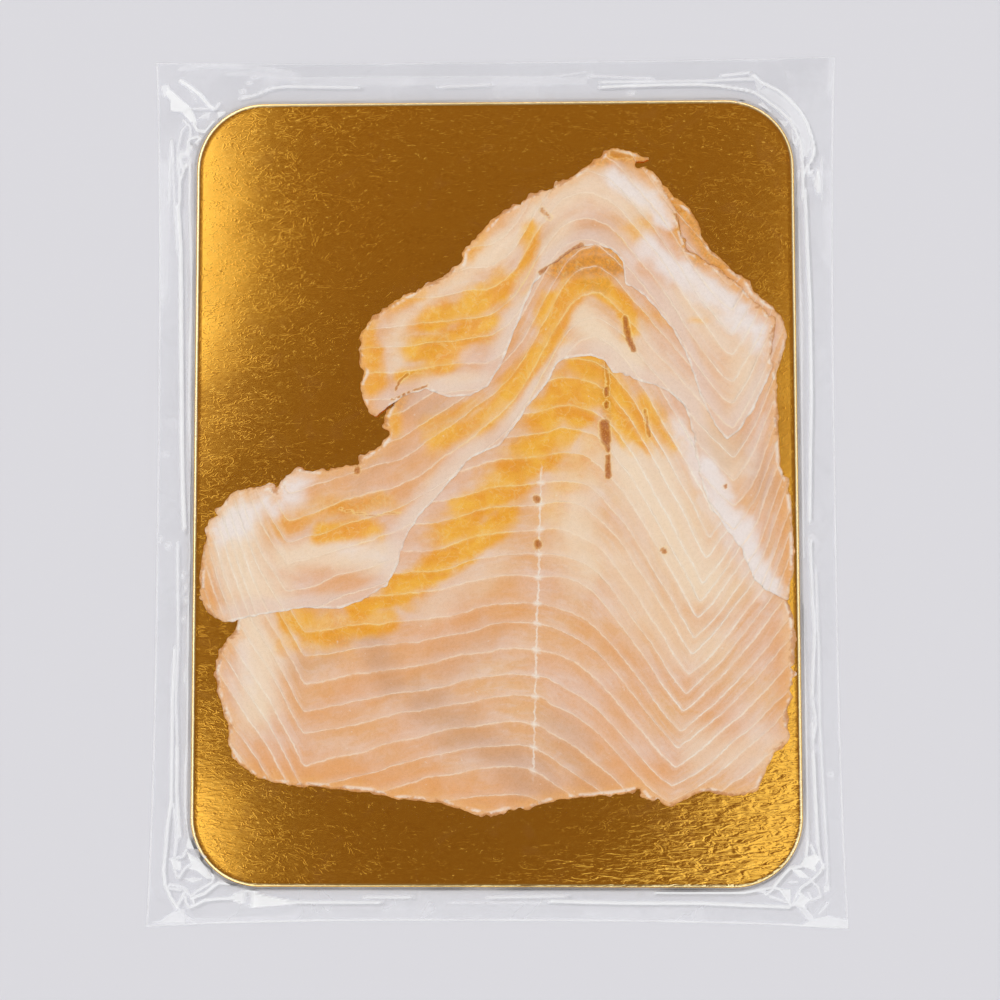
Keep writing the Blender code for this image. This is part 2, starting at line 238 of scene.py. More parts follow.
def foilMaterial():
    look = Look("goldFoil")
    fold = look.noise((0.3, 0.62, 0.4), 1.0, 0.5, 1.2, turn=0.12)
    grain = look.noise((0.8, 1.5, 1.0), 3.0, 0.6, 0.5)
    patch = look.noise((0.22, 0.3, 0.3), 1.0)
    waves = look.noise((0.03, 0.05, 0.05), 1.0)
    crinkle = look.noise((0.2, 0.7, 0.3), 2.0, 0.5, 1.0, turn=0.12)
    # the card is handled most at its right corner below, where the foil is crumpled
    x, y, _ = look.split(look.place())
    crumpled = look.step(x * 0.5 - y, 90.0, 150.0) + look.step(x * -1.0 - y * 0.3, 70.0, 120.0) * 0.07 + 0.03
    hair = look.fade(abs(fold - 0.5), 0.0, 0.05) * look.step(patch, 0.3, 0.6)
    sparks = look.step(grain, 0.66, 0.76) * 4.0
    normal = look.bump(hair, 1.0, foil["hair"])
    normal = look.bump(grain + sparks, 1.0, foil["grain"], normal)
    normal = look.bump(crinkle * crumpled, 1.0, foil["crinkle"], normal)
    normal = look.bump(waves, 1.0, foil["waves"], normal)
    colour = look.cover(
        foil["gold"], foil,
        (look.step(grain, 0.45, 0.75) * 0.5, "worn"),
        # painted shade along the crinkle lines, and darker patches at random
        (hair * 0.3 + look.step(patch, 0.35, 0.7) * 0.15, "fold"),
        # painted highlight along the rolled rim
        (look.step(look.layer("edge"), 0.2, 0.6), "edge"))
    return look.close({"Base Color": colour, "Metallic": 1.0, "Normal": normal,
                       "Roughness": grain * 0.08 + (foil["rough"] - 0.04)})


def makeCard():
    bm = bmesh.new()
    bmesh.ops.create_cube(bm, size=1.0)
    size = cardHigh - cardLow
    middle = 0.5 * (cardHigh + cardLow)
    bmesh.ops.scale(bm, vec=size - Vector((0, 0, card["lowered"])), verts=bm.verts)
    upright = [e for e in bm.edges if abs(e.verts[0].co.z - e.verts[1].co.z) > 0.5 * size.z]
    bmesh.ops.bevel(bm, geom=upright, offset=card["corner"], offset_type="OFFSET", affect="EDGES",
                    segments=24, profile=0.5, material=-1)
    rim = [e for e in bm.edges if abs(e.verts[0].co.z - e.verts[1].co.z) < 1e-4]
    bmesh.ops.bevel(bm, geom=rim, offset=card["edgeRound"], offset_type="OFFSET", affect="EDGES",
                    segments=4, profile=0.5, material=-1)
    face = max(bm.faces, key=lambda f: f.calc_center_median().z)
    for thick, rise in foil["rim"]:
        bmesh.ops.inset_region(bm, faces=[face], thickness=thick, depth=rise, use_even_offset=True)
    bmesh.ops.translate(bm, vec=middle - Vector((0, 0, 0.5 * card["lowered"])), verts=bm.verts)
    bmesh.ops.scale(bm, vec=(mm, mm, mm), verts=bm.verts)
    piece = finish(bm, "foilCard", foilMaterial())
    spots = np.array([vert.co[:2] for vert in piece.data.vertices]) / mm
    out = cardDistance(spots[:, 0], spots[:, 1])
    # the band near the rim where the highlight is painted
    inside, insideEnd, outside, outsideEnd = foil["paintedRimHighlight"]
    store(piece, "edge", smoothStep(out, inside, insideEnd) * (1 - smoothStep(out, outside, outsideEnd)))
    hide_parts("gold_card")
    print("card", len(piece.data.polygons), "faces")


# slices of fish
# outlines in millimetres, clockwise from above, as runs of points with how ragged each run is
# outer are the runs that end on the card, and front is the cut edge that lies on the next slice
# zones are strokes of colour in millimetres: points, half width and strength

lowerSlice = {
    "name": "sliceLower", "node": "slice_lower", "slot": "lower_flesh", "seed": 5.0,
    "outer": (0,), "front": None,
    "runs": [
        ([(84.5, -32.5), (86, -37), (86.5, -47), (85.5, -59.5), (84, -65.5), (84.5, -71), (81, -76),
          (77.5, -82), (75, -87), (68, -89), (62, -87.5), (57.5, -88), (50.5, -91.5), (43.5, -89.5),
          (41.5, -87), (36.5, -88), (27, -89), (18, -89.5), (10, -92.5), (3, -93), (-2, -94.5),
          (-9.5, -92.5), (-15.5, -90.5), (-28.5, -89.5), (-36, -87.5), (-48, -86.5), (-60.5, -85.5),
          (-68, -84), (-74, -79.5), (-77.5, -74), (-77, -68), (-80, -60), (-81.5, -53), (-79.5, -46.5),
          (-75.5, -41.5)], 1.0),
        ([(-74.5, -34), (-67.5, -24), (-56.5, -16.5), (-43.5, -12), (-31, -5), (-18.5, 9.5), (-4, 22.5),
          (6, 34.5), (15, 43), (28, 48.5), (42.5, 43.5), (57, 35.5), (66, 27), (74, 16.5), (79, 3.5),
          (81, -9.5), (82.5, -24)], 0.0)],
    # the zigzag of the flakes: x of the left side, left fold, middle line, right fold and right side
    "frame": (-88, -55, 13.4, 64.2, 90), "lean": (0, 0, 0.0305, 0.158, 0), "start": 1.6, "pitch": 6.87,
    # how far the seams hang down at places from the left side (-2) to the right side (2)
    "places": (-2, -1.7, -1.35, -1, -0.75, -0.45, -0.2, 0, 0.12, 0.3, 0.5, 0.7, 0.88, 1, 1.2, 1.5, 2),
    "dropTop": (-55, -32, -14, 5, 4.5, 6, 0.5, 0, -1.5, 1, 12, 25.5, 37.5, 45, 37, 22, -3),
    "dropBottom": (-43.5, -24.5, -8.5, 13, 8.5, 3, 0, 0, 3.5, 8, 13.5, 20, 25.5, 27, 22.5, 14.5, 0),
    "zones": {
        "fat": [
            ([(28, 37), (26.5, 30), (24.5, 22)], 6.5, 1), ([(34, 31.5), (36, 22), (42, 14.5)], 5.5, 1),
            ([(19.5, 28), (15, 17), (10, 6)], 6.5, 1), ([(6, 3), (-3.5, -4), (-12.5, -13.5)], 7, 1),
            ([(3, -8.5), (-7.5, -16.5), (-18.5, -25), (-26.5, -30.5)], 5, 1),
            ([(-16, -21.5), (-23, -27), (-31, -32.5), (-40.5, -35)], 3.5, 1),
            ([(21.5, 17), (15.5, 7.5)], 5.5, 0.75),
            ([(-59.5, -38.5), (-46, -41), (-31.5, -37.5)], 5.5, 0.8), ([(-60.5, -45), (-43, -45)], 4, 0.5),
            ([(42.5, 23), (49.5, 17.5), (53, 13)], 5, 0.75), ([(29, 16), (22, 5), (16, -6)], 7, 0.45)],
        "smoked": [
            ([(-18.5, -88), (7, -90), (36, -86)], 6, 0.85),
            ([(-66, -81.5), (-41.5, -84), (-18.5, -85)], 8, 0.95),
            ([(-56, -61), (-36, -71), (-21.5, -81)], 9, 0.4), ([(34.5, -82.5), (46, -82.5)], 5.5, 0.7),
            ([(59, -61), (68.5, -71)], 6.5, 0.35), ([(82, -41), (83.5, -61)], 3, 0.7),
            ([(19, -48), (42, -44), (56, -35.5)], 8, 0.4), ([(41.5, -61), (30, -72.5)], 8, 0.35),
            ([(4.5, -32.5), (-7, -39.5), (-20, -46.5), (-47.5, -58)], 8, 0.6),
            ([(-33, -32.5), (-56.5, -35.5)], 3, 0.5)],
        # painted shade along folds of the flesh
        "paintedShade": [
            ([(-35.5, -44), (-29.5, -58)], 4.5, 0.7), ([(-47.5, -48), (-56, -52.5)], 4, 0.35),
            ([(-20, -61), (-10, -69.5), (1.5, -76.5), (14.5, -85)], 7, 0.75),
            ([(6, -76.5), (8.5, -86)], 4.5, 0.8), ([(18.5, -69.5), (27, -86.5)], 7, 0.5),
            ([(-4, -44), (-15.5, -52.5)], 6, 0.3)],
        "pale": [
            ([(-71, -35.5), (-67, -46.5), (-69, -62.5)], 7, 0.95),
            ([(42, 7.5), (50, -8), (59, -25.5)], 12, 1), ([(29, 9.5), (20.5, -5), (27.5, -21)], 8.5, 0.8),
            ([(36, -22.5), (44.5, -35.5), (60, -45)], 9, 0.6), ([(58.5, -74), (77, -76.5)], 6, 0.5),
            ([(1.5, -21), (-18.5, -34)], 5, 0.4), ([(85, -32.5), (85, -49.5)], 3, 0.4)],
        # painted highlight where the flesh is glossy
        "whiteAndHighlight": [
            ([(52, 19), (57, 11), (60, 4)], 3.5, 0.8), ([(61.5, -4.5), (69, -17.5), (77, -31)], 3, 0.5),
            ([(69, -65.5), (77, -71)], 5, 0.4), ([(-73.5, -44), (-70.5, -58)], 3.5, 0.4),
            ([(13, -3.5), (30.5, -3.5)], 4, 0.3)],
        "amber": [
            ([(32.5, 36.5), (32.5, 19.5)], 2, 0.55), ([(32.5, 19.5), (32.5, 3)], 1.6, 0.4),
            ([(28, 36), (30.5, 25.5)], 3, 0.3), ([(6, 14), (8, 5)], 3.5, 0.35),
            ([(48, 22.5), (55, 12.5)], 4.5, 0.3), ([(-47.5, -41.5), (-43, -44)], 3, 0.35)],
        "stain": [
            ([(32.5, 36.5), (33, 30)], 0.7, 0.5), ([(32.5, 28.5), (32.5, 27)], 0.9, 0.9),
            ([(32.5, 24.5), (32.5, 23.5)], 0.9, 0.9), ([(32, 18.5), (32.5, 13.5)], 1.5, 1),
            ([(32.5, 13.5), (33, 11)], 0.8, 0.9), ([(33, 9), (33, 3.5)], 0.8, 0.8),
            ([(12, -3), (12.5, -3.5)], 1, 0.7), ([(12.5, -16), (12.5, -16.5)], 1.1, 0.8),
            ([(48.5, -18), (49, -18.5)], 0.8, 0.6), ([(43.5, 22.5), (45, 15)], 0.7, 0.55)],
        "lined": [
            ([(50.5, 10.5), (60, -14.5), (62, -39.5), (57.5, -61), (59.5, -78.5)], 16, 1),
            ([(-75, -49), (-68, -69), (-60, -78.5)], 10, 0.6)]}}

middleSlice = {
    "name": "sliceMiddle", "node": "slice_middle", "slot": "middle_flesh", "seed": 6.0,
    "outer": (1, 3), "front": 0,
    "runs": [
        ([(84.5, -32.5), (78, -30), (74, -25.5), (71.5, -18.5), (65.5, -10.5), (61.5, -3.5), (59, 5),
          (57.5, 16), (55, 24), (50.5, 28), (42.5, 31), (34.5, 33.5), (32, 37), (28, 38.5), (21.5, 38),
          (18.5, 36.5), (15, 30), (10, 24), (5.5, 17.5), (1.5, 12.5), (-6.5, 9), (-12.5, 2.5),
          (-16.5, -2.5), (-21.5, -7.5), (-26, -15), (-28.5, -23), (-31, -28), (-38.5, -32.5),
          (-44.5, -34.5), (-55, -34.5), (-67.5, -36.5), (-77.5, -38.5)], 0.5),
        ([(-79, -39), (-83.5, -35.5), (-86, -31.5), (-85.5, -21.5), (-84.5, -15.5), (-82, -6.5),
          (-77.5, -1.5), (-73, 0), (-65, 1), (-64, -0.5), (-61, 4), (-57.5, 6.5), (-50.5, 5.5),
          (-43.5, 7.5), (-40, 7), (-39.5, 9), (-33.5, 12.5), (-31, 15.5), (-32.5, 20), (-30.5, 24)], 1.2),
        ([(-27, 30), (-20, 37), (-11.5, 45), (-2.5, 55), (6, 66), (18, 78), (32.5, 87.5), (43, 90)], 0.0),
        ([(49, 89.5), (53, 85.5), (57.5, 82), (60, 77.5), (61.5, 73), (64, 69.5), (69.5, 64), (73.5, 61.5),
          (76, 57), (82, 52.5), (84.5, 48.5), (85.5, 44), (84.5, 40), (82, 33), (82.5, 19), (83, 6.5),
          (85, 2.5), (86, -4.5), (86.5, -15.5), (86.5, -22.5)], 0.7)],
    "frame": (-88, -60, 28, 69, 90), "lean": (0, 0, 0, 0, 0), "start": 52.0, "pitch": 7.0,
    "places": (-2, -1.6, -1.3, -1, -0.8, -0.6, -0.35, -0.2, -0.1, 0, 0.2, 0.45, 0.7, 0.9, 1, 1.3, 1.6, 2),
    "dropTop": (0, 32, 55, 68, 62, 57, 41.5, 28.5, 6.5, 0, 6, 19, 30.5, 40, 43.5, 35, 19, -3),
    "zones": {
        "fat": [
            ([(24.5, 58.5), (19, 52), (16.5, 44.5), (11.5, 36.5), (5, 28)], 4.5, 1),
            ([(16, 55), (15, 46)], 3.5, 0.9), ([(6, 27.5), (-2, 21), (-9.5, 16.5), (-17, 13.5)], 4.5, 0.75),
            ([(31.5, 58), (38, 53.5), (40, 45.5)], 3.5, 0.9), ([(42.5, 51), (50.5, 49)], 4, 0.45),
            ([(-50, -12.5), (-33.5, -12)], 3.5, 0.95), ([(-61, -10.5), (-50.5, -5.5)], 5, 0.5),
            ([(-47.5, -5), (-29.5, -5)], 4.5, 0.55), ([(-18.5, 18.5), (-3.5, 24.5)], 4, 0.55),
            ([(-31, 24.5), (-29, 16.5)], 3, 0.8), ([(31, 58.5), (22, 58)], 3, 0.8)],
        "amber": [
            ([(52, 88), (57, 80.5), (61, 73.5), (67, 66)], 4, 1),
            ([(19.5, 64.5), (28, 65.5), (36, 65.5)], 4.5, 0.95),
            ([(20, 67.5), (26.5, 69.5), (34.5, 69.5)], 2.5, 0.8), ([(26.5, 59.5), (32.5, 59)], 3, 0.55),
            ([(-46.5, -5.5), (-31.5, -3.5)], 4, 0.35), ([(-27.5, 30), (-28.5, 24.5)], 2.5, 0.6)],
        "smoked": [
            ([(50, 90), (58, 81), (63, 71), (71, 63)], 5, 1), ([(-85, -23.5), (-82.5, -33)], 3, 0.95),
            ([(-49, -25), (-38.5, -29.5)], 5, 0.55), ([(82.5, 2), (84.5, -18), (83.5, -32)], 2.5, 0.85),
            ([(-27, 10.5), (-14.5, 5.5)], 6.5, 0.65), ([(-36, 5), (-27, -1)], 5, 0.6),
            ([(-27, 30.5), (-24, 16.5)], 4, 0.6), ([(4.5, 55), (5, 41.5), (1, 33)], 3, 0.55),
            ([(-43.5, 5.5), (-53.5, -0.5)], 4, 0.5), ([(-73.5, -32), (-65, -32)], 3, 0.5)],
        # painted shade along folds of the flesh
        "paintedShade": [
            ([(-23, 24.5), (-15, 22)], 5, 0.5), ([(61.5, 14), (66, 8.5)], 4, 1),
            ([(69.5, 13.5), (79.5, 2)], 6, 0.4), ([(-27.5, 11), (-39, 2.5)], 4, 0.35)],
        "pale": [
            ([(26, 50.5), (31.5, 44.5), (39, 36.5)], 6, 0.95), ([(20, 41), (13.5, 31), (6, 22.5)], 4, 0.85),
            ([(42.5, 41.5), (57, 25.5), (68, 6.5)], 6, 0.6),
            ([(-76, -9), (-74, -20.5), (-68.5, -30)], 9, 1), ([(-60.5, -19.5), (-30, -19.5)], 5, 0.85),
            ([(-30, -23.5), (-28, -29.5)], 3, 0.7), ([(-7, 10.5), (-16, -0.5), (-24, -9)], 4, 0.7)],
        "stain": [
            ([(38, 49.5), (39, 43.5), (40.5, 40)], 0.9, 0.8), ([(-40, 5.5), (-40, 5)], 0.9, 0.9),
            ([(66.5, 0.5), (66.5, 0)], 0.6, 0.7), ([(-45, -6), (-36, -8), (-27.5, -7)], 0.4, 0.4)],
        # painted highlight where the flesh is glossy
        "whiteAndHighlight": [
            ([(61.5, 5), (66.5, -7), (75, -22), (80, -32)], 5, 1),
            ([(-78, -12), (-67.5, -4.5), (-59.5, 0)], 6, 0.85), ([(-79, -15), (-75.5, -9)], 4, 0.6),
            ([(-59.5, 2), (-56, 3)], 4, 0.9), ([(-43.5, -16.5), (-29.5, -21.5)], 4, 0.5),
            ([(77, 19.5), (73.5, 5)], 3, 0.4)],
        "lined": [
            ([(63, 50), (68.5, 30), (66.5, 15)], 8, 0.9), ([(-78.5, -9.5), (-72.5, -24.5)], 8, 0.8)]}}

upperSlice = {
    "name": "sliceUpper", "node": "slice_upper", "slot": "upper_flesh", "seed": 7.0,
    "outer": (1,), "front": 0,
    "runs": [
        ([(80.5, 34.5), (77.5, 27.5), (74.5, 22), (71, 16.5), (67, 13.5), (63.5, 18), (59.5, 27),
          (56.5, 37), (52, 46), (47, 52.5), (42.5, 57), (38, 59.5), (37.5, 66), (34.5, 69.5), (30, 71),
          (25, 70.5), (21, 68), (16, 64.5), (11.5, 59.5), (9.5, 55), (7, 48.5), (4, 41), (1.5, 35),
          (-2, 29.5), (-7, 27), (-13.5, 26.5), (-20, 29), (-26.5, 27), (-30.5, 24.5)], 0.4),
        ([(-34.5, 21), (-37, 22.5), (-39, 27.5), (-39.5, 31.5), (-38, 34), (-39.5, 37.5), (-39.5, 45),
          (-37.5, 48.5), (-34, 52), (-26.5, 56.5), (-16.5, 61.5), (-9.5, 66.5), (-9, 70), (-4.5, 75),
          (2.5, 81.5), (11, 86.5), (21, 91), (29, 96), (32.5, 99), (36.5, 100.5), (40, 99.5), (46, 97),
          (41.5, 95.5), (46.5, 93.5), (49, 89), (51, 86), (53, 82.5), (54.5, 75.5), (56.5, 69.5),
          (61.5, 66.5), (68, 62), (74, 57), (79, 51), (82, 49.5), (81, 40.5)], 1.0)],
    "frame": (-105, -41, 26, 69, 90), "lean": (0, 0, 0, 0, 0), "start": 73.0, "pitch": 7.0,
    "places": (-1.2, -0.8, -0.6, -0.36, -0.23, -0.15, 0, 0.2, 0.38, 0.57, 0.76, 0.94, 1, 1.2, 1.5, 2),
    "dropTop": (33, 32, 30.5, 29, 17.5, 4.5, 0, 3.5, 13, 24.5, 37.5, 48, 49.5, 43, 30, 5),
    "zones": {
        "fat": [
            ([(-37.5, 46.5), (-35.5, 29.5)], 4, 0.95),
            ([(-18.5, 48.5), (-7, 52.5), (4.5, 59.5)], 5.5, 0.95),
            ([(-23, 40), (-13, 42), (-3, 47)], 5.5, 1), ([(-26, 33), (-15, 36.5)], 3.5, 0.85),
            ([(11, 76), (10, 68), (7.5, 59)], 3, 0.95), ([(-7.5, 69), (-3.5, 73.5)], 3.5, 0.65),
            ([(57, 48.5), (61, 48)], 1.5, 0.5), ([(38.5, 73), (45, 76.5)], 4.5, 0.5),
            ([(-29, 54.5), (-21.5, 56.5)], 2.5, 0.6)],
        "smoked": [
            ([(-38, 50), (-36, 25)], 3.5, 0.7), ([(30.5, 96.5), (37.5, 98.5), (44.5, 94.5)], 3, 0.95),
            ([(52, 82), (57, 70), (61.5, 66)], 4.5, 1), ([(-8.5, 66.5), (-4, 73), (2, 78)], 3.5, 0.7),
            ([(83, 49), (84, 34.5)], 3, 0.9), ([(-28, 29.5), (-19.5, 32)], 3, 0.7),
            ([(-32, 52), (-16, 60.5), (-8.5, 66.5)], 2, 0.8), ([(71.5, 59.5), (82, 51)], 2.5, 0.7),
            ([(16.5, 89), (29.5, 96.5)], 1.5, 0.6)],
        "amber": [
            ([(-19.5, 40.5), (-14.5, 42.5)], 3, 0.35), ([(54.5, 77.5), (59.5, 67.5)], 4, 0.9),
            ([(-26, 32), (-20, 34.5)], 2, 0.35), ([(30, 97), (38, 98.5), (46, 95.5)], 3, 0.8)],
        # painted shade along folds of the flesh
        "paintedShade": [
            ([(31, 93.5), (43, 94.5)], 3, 0.35), ([(15, 72.5), (31, 75)], 5, 0.3),
            ([(12, 64), (9, 55)], 2.5, 0.35)],
        "pale": [
            ([(-27, 48), (-28.5, 37)], 3.5, 0.6),
            ([(-18.5, 57.5), (-7, 64), (5.5, 73.5), (19.5, 84.5)], 5, 0.9),
            ([(20, 85.5), (29, 88.5), (43, 82.5)], 6.5, 0.85),
            ([(57, 54.5), (71, 40), (74, 27.5)], 8, 0.75),
            ([(3, 40.5), (9, 55), (15, 68), (21, 77)], 3.5, 0.7), ([(-18.5, 30), (-3.5, 31)], 3, 0.7)],
        "stain": [
            ([(35, 98.5), (40, 97.5)], 1, 0.5), ([(-29, 28.5), (-27.5, 31.5), (-25, 33.5)], 0.4, 0.65),
            ([(-30, 26), (-25, 28), (-19.5, 30)], 0.4, 0.65),
            ([(13.5, 63), (17, 65), (21.5, 68.5), (25.5, 71)], 0.8, 0.7),
            ([(14, 81.5), (16.5, 79)], 1, 0.4), ([(47.5, 95.5), (51.5, 89.5)], 1.5, 0.6),
            ([(53, 80), (55.5, 74), (58, 69.5)], 0.8, 0.6)],
        # painted highlight where the flesh is glossy
        "whiteAndHighlight": [
            ([(34.5, 91.5), (43, 86), (49.5, 79)], 4, 0.9), ([(45, 69.5), (60, 59), (78, 43.5)], 5.5, 0.9)],
        "lined": [
            ([(61, 55), (69, 45), (70.5, 30)], 8, 0.6)]}}

slices = [lowerSlice, middleSlice, upperSlice]
zoneNames = ("fat", "smoked", "pale", "paintedShade", "amber", "stain", "whiteAndHighlight", "lined")
farOff = 12.0      # distances to an edge are kept up to here

# how the rims are torn: size and depth of the bays, size of the teeth, and how much the teeth vary
tears = {"bay": 4.5, "bayDepth": 0.8, "tooth": 1.6, "calm": 0.35, "wild": 2.3, "stretch": 13}

# how far and over what length the seams wander and tremble, how uneven they are, how soft in a fold
# and beside it, and how many flakes lie between the upper drops and the lower ones
seams = {"wander": (0.9, 11.0), "tremble": (0.35, 3.5), "uneven": 0.08, "soft": (0.012, 0.05), "flakes": 11}


def tornRun(points, amount, seed):
    # the run in small steps, torn in and out: slow bays and fine teeth, wilder in some stretches
    result = []
    for (ax, ay), (bx, by) in zip(points, points[1:]):
        length = math.hypot(bx - ax, by - ay)
        count = max(1, round(length / lay["step"]))
        outX, outY = (by - ay) / -length, (bx - ax) / length
        for i in range(count):
            x = ax + (bx - ax) * i / count
            y = ay + (by - ay) * i / count
            wild = tears["calm"] + tears["wild"] * abs(lump(x, y, tears["stretch"], seed + 6))
            bay = tears["bayDepth"] * lump(x, y, tears["bay"], seed)
            shift = amount * (bay + wild * lump(x, y, tears["tooth"], seed + 3))
            result.append((x + outX * shift, y + outY * shift))
    return result


def wholeRun(piece, k):
    # the points of a run and the first one of the next
    runs = piece["runs"]
    return runs[k][0] + [runs[(k + 1) % len(runs)][0][0]]


def sliceOutline(piece):
    outline = []
    for k, (_, amount) in enumerate(piece["runs"]):
        outline += tornRun(wholeRun(piece, k), amount, piece["seed"])
    return np.array(outline)


def outerFar(piece, x, y):
    # distance to the edges that lie on the card
    return np.minimum.reduce([farFrom(wholeRun(piece, k), x, y) for k in piece["outer"]])


def frontFar(piece, x, y):
    # distance to the cut edge that lies on the next slice
    if piece["front"] is None:
        return np.full(len(x), farOff)
    return farFrom(piece["runs"][piece["front"]][0], x, y)


def skinBand(piece, front, x, y):
    # pale skin along that edge
    wide = 5.0 + 2.5 * noiseAt(x, y, 16.0, 66.0 + piece["seed"])
    return 1.0 - smoothStep(front, 0.5 * wide, 1.2 * wide)


def spineMask(index, y):
    # the middle line shows as a white seam on the lower slice alone
    return (1.0 - smoothStep(y, 2.0, 10.0)) * smoothStep(y, -86.0, -78.0) if index == 0 else np.zeros(len(y))


def nearestOn(outline, x, y):
    # depth inside the outline (negative outside) and the nearest point on it
    best = np.full(len(x), 1e9)
    nearX, nearY = np.zeros(len(x)), np.zeros(len(x))
    inside = np.zeros(len(x), dtype=bool)
    for (ax, ay), (bx, by) in zip(outline, np.roll(outline, -1, axis=0)):
        dx, dy = bx - ax, by - ay
        along = np.clip(((x - ax) * dx + (y - ay) * dy) / (dx * dx + dy * dy + 1e-12), 0.0, 1.0)
        px, py = ax + along * dx, ay + along * dy
        far = (x - px) ** 2 + (y - py) ** 2
        closer = far < best
        best = np.where(closer, far, best)
        nearX = np.where(closer, px, nearX)
        nearY = np.where(closer, py, nearY)
        if ay != by:
            inside ^= ((ay > y) != (by > y)) & (x < ax + (y - ay) * dx / dy)
    depth = np.sqrt(best)
    return np.where(inside, depth, -depth), nearX, nearY


def seamField(piece, x, y):
    # running number of the flake at each point
    sides = np.array(piece["frame"], float)[:, None] + np.array(piece["lean"])[:, None] * y
    place = np.zeros(len(x))
    for k in range(4):      # left side, left fold, middle line, right fold
        part = (x - sides[k]) / (sides[k + 1] - sides[k])
        here = (part > 0 if k else True) & (part <= 1 if k < 3 else True)
        place = np.where(here & (place == 0), k - 2 + part, place)
    inFold, besideFold = seams["soft"]
    soften = inFold + besideFold * (1 - bell(np.abs(place), 1, 0.12))

    def drop(row):
        # how far the seams hang down, a little softened
        around = [np.interp(place + shift * soften, piece["places"], row) for shift in (-1, -0.4, 0.4, 1)]
        return sum(around) / 4

    top, bottom = drop(piece["dropTop"]), drop(piece.get("dropBottom", piece["dropTop"]))
    number = (piece["start"] - y - top) / piece["pitch"]
    for _ in range(6):
        part = np.clip(number / seams["flakes"], -0.3, 1.3)
        number = 0.5 * number + 0.5 * (piece["start"] - y - top - (bottom - top) * part) / piece["pitch"]
    return number


def wanderingField(piece, x, y):
    # the seams wander a little and are never quite evenly spaced
    (far, size), (tremble, small) = seams["wander"], seams["tremble"]
    wander = far * noiseAt(x, y, size, piece["seed"]) + tremble * noiseAt(x, y, small, piece["seed"] + 9)
    number = seamField(piece, x, y + wander)
    return number + seams["uneven"] * np.sin(number * 2.4 + piece["seed"])


def relief(piece, depth, x, y):
    # bulge of each flake between its seams, and slow swells
    part = wanderingField(piece, x, y) % 1.0
    crown = lay["crown"] * 4 * part * (1 - part) * smoothStep(depth / 3.0)
    return crown + lay["swell"] * noiseAt(x, y, 14.0, piece["seed"] + 20) * smoothStep(depth / 4.0)


def zoneMask(strokes, x, y, number, seed):
    # soft strokes, streaky along the flakes, the strongest one wins
    mask = np.zeros(len(x))
    rough = 0.7 * noiseAt(x, y, 8.0, seed) + 0.5 * noiseAt(x, y, 2.6, seed + 2)
    rough += 1.1 * noiseAt(x / 9.0, number * 1.1, 1.0, seed + 4)
    for points, half, strength in strokes:
        far = farFrom(points, x, y) + rough * min(half * 0.45, 2.6)
        mask = np.maximum(mask, strength * (1.0 - smoothStep(far, 0.1 * half, 1.6 * half)))
    return mask


def layerTops(depths, outers):
    # underside and top of each slice as they lie on each other, from the depths inside their outlines
    floor = np.full(len(depths[0]), fishFloor)
    result = []
    for depth, outer in zip(depths, outers):
        rim = lay["rim"] - (lay["rim"] - lay["front"]) * smoothStep(outer, *lay["thin"])
        top = floor + rim + (lay["full"] - rim) * smoothStep(depth / lay["feather"])
        result.append((floor, top))
        floor = floor + (top + lay["gap"] - floor) * smoothStep((depth + lay["drape"]) / lay["drape"])
    return result


flesh = {
    "rosy": tone(230, 192, 168), "tan": tone(232, 190, 148), "soft": tone(230, 172, 120),
    # dusk is the colour of the painted shade along folds
    "smoked": tone(230, 160, 92), "lilac": tone(236, 210, 196), "paintedShade": tone(204, 158, 124),
    # white is the colour of the painted highlight on glossy flesh
    "pale": tone(243, 221, 194), "whiteAndHighlight": tone(240, 230, 226), "fat": tone(246, 184, 60),
    "deepFat": tone(236, 156, 24), "amber": tone(206, 138, 56), "seam": tone(252, 226, 200),
    # brightSeamAndHighlight is the white of the seams and of painted glints and highlights; fatSeamAndGlint
    # is the seam colour in fat and of painted glints there
    "brightSeamAndHighlight": tone(253, 240, 228), "fatSeamAndGlint": tone(253, 218, 146), "skin": tone(232, 210, 198),
    "rim": tone(196, 130, 74), "rimSoft": tone(240, 182, 114), "stain": tone(166, 88, 22)}


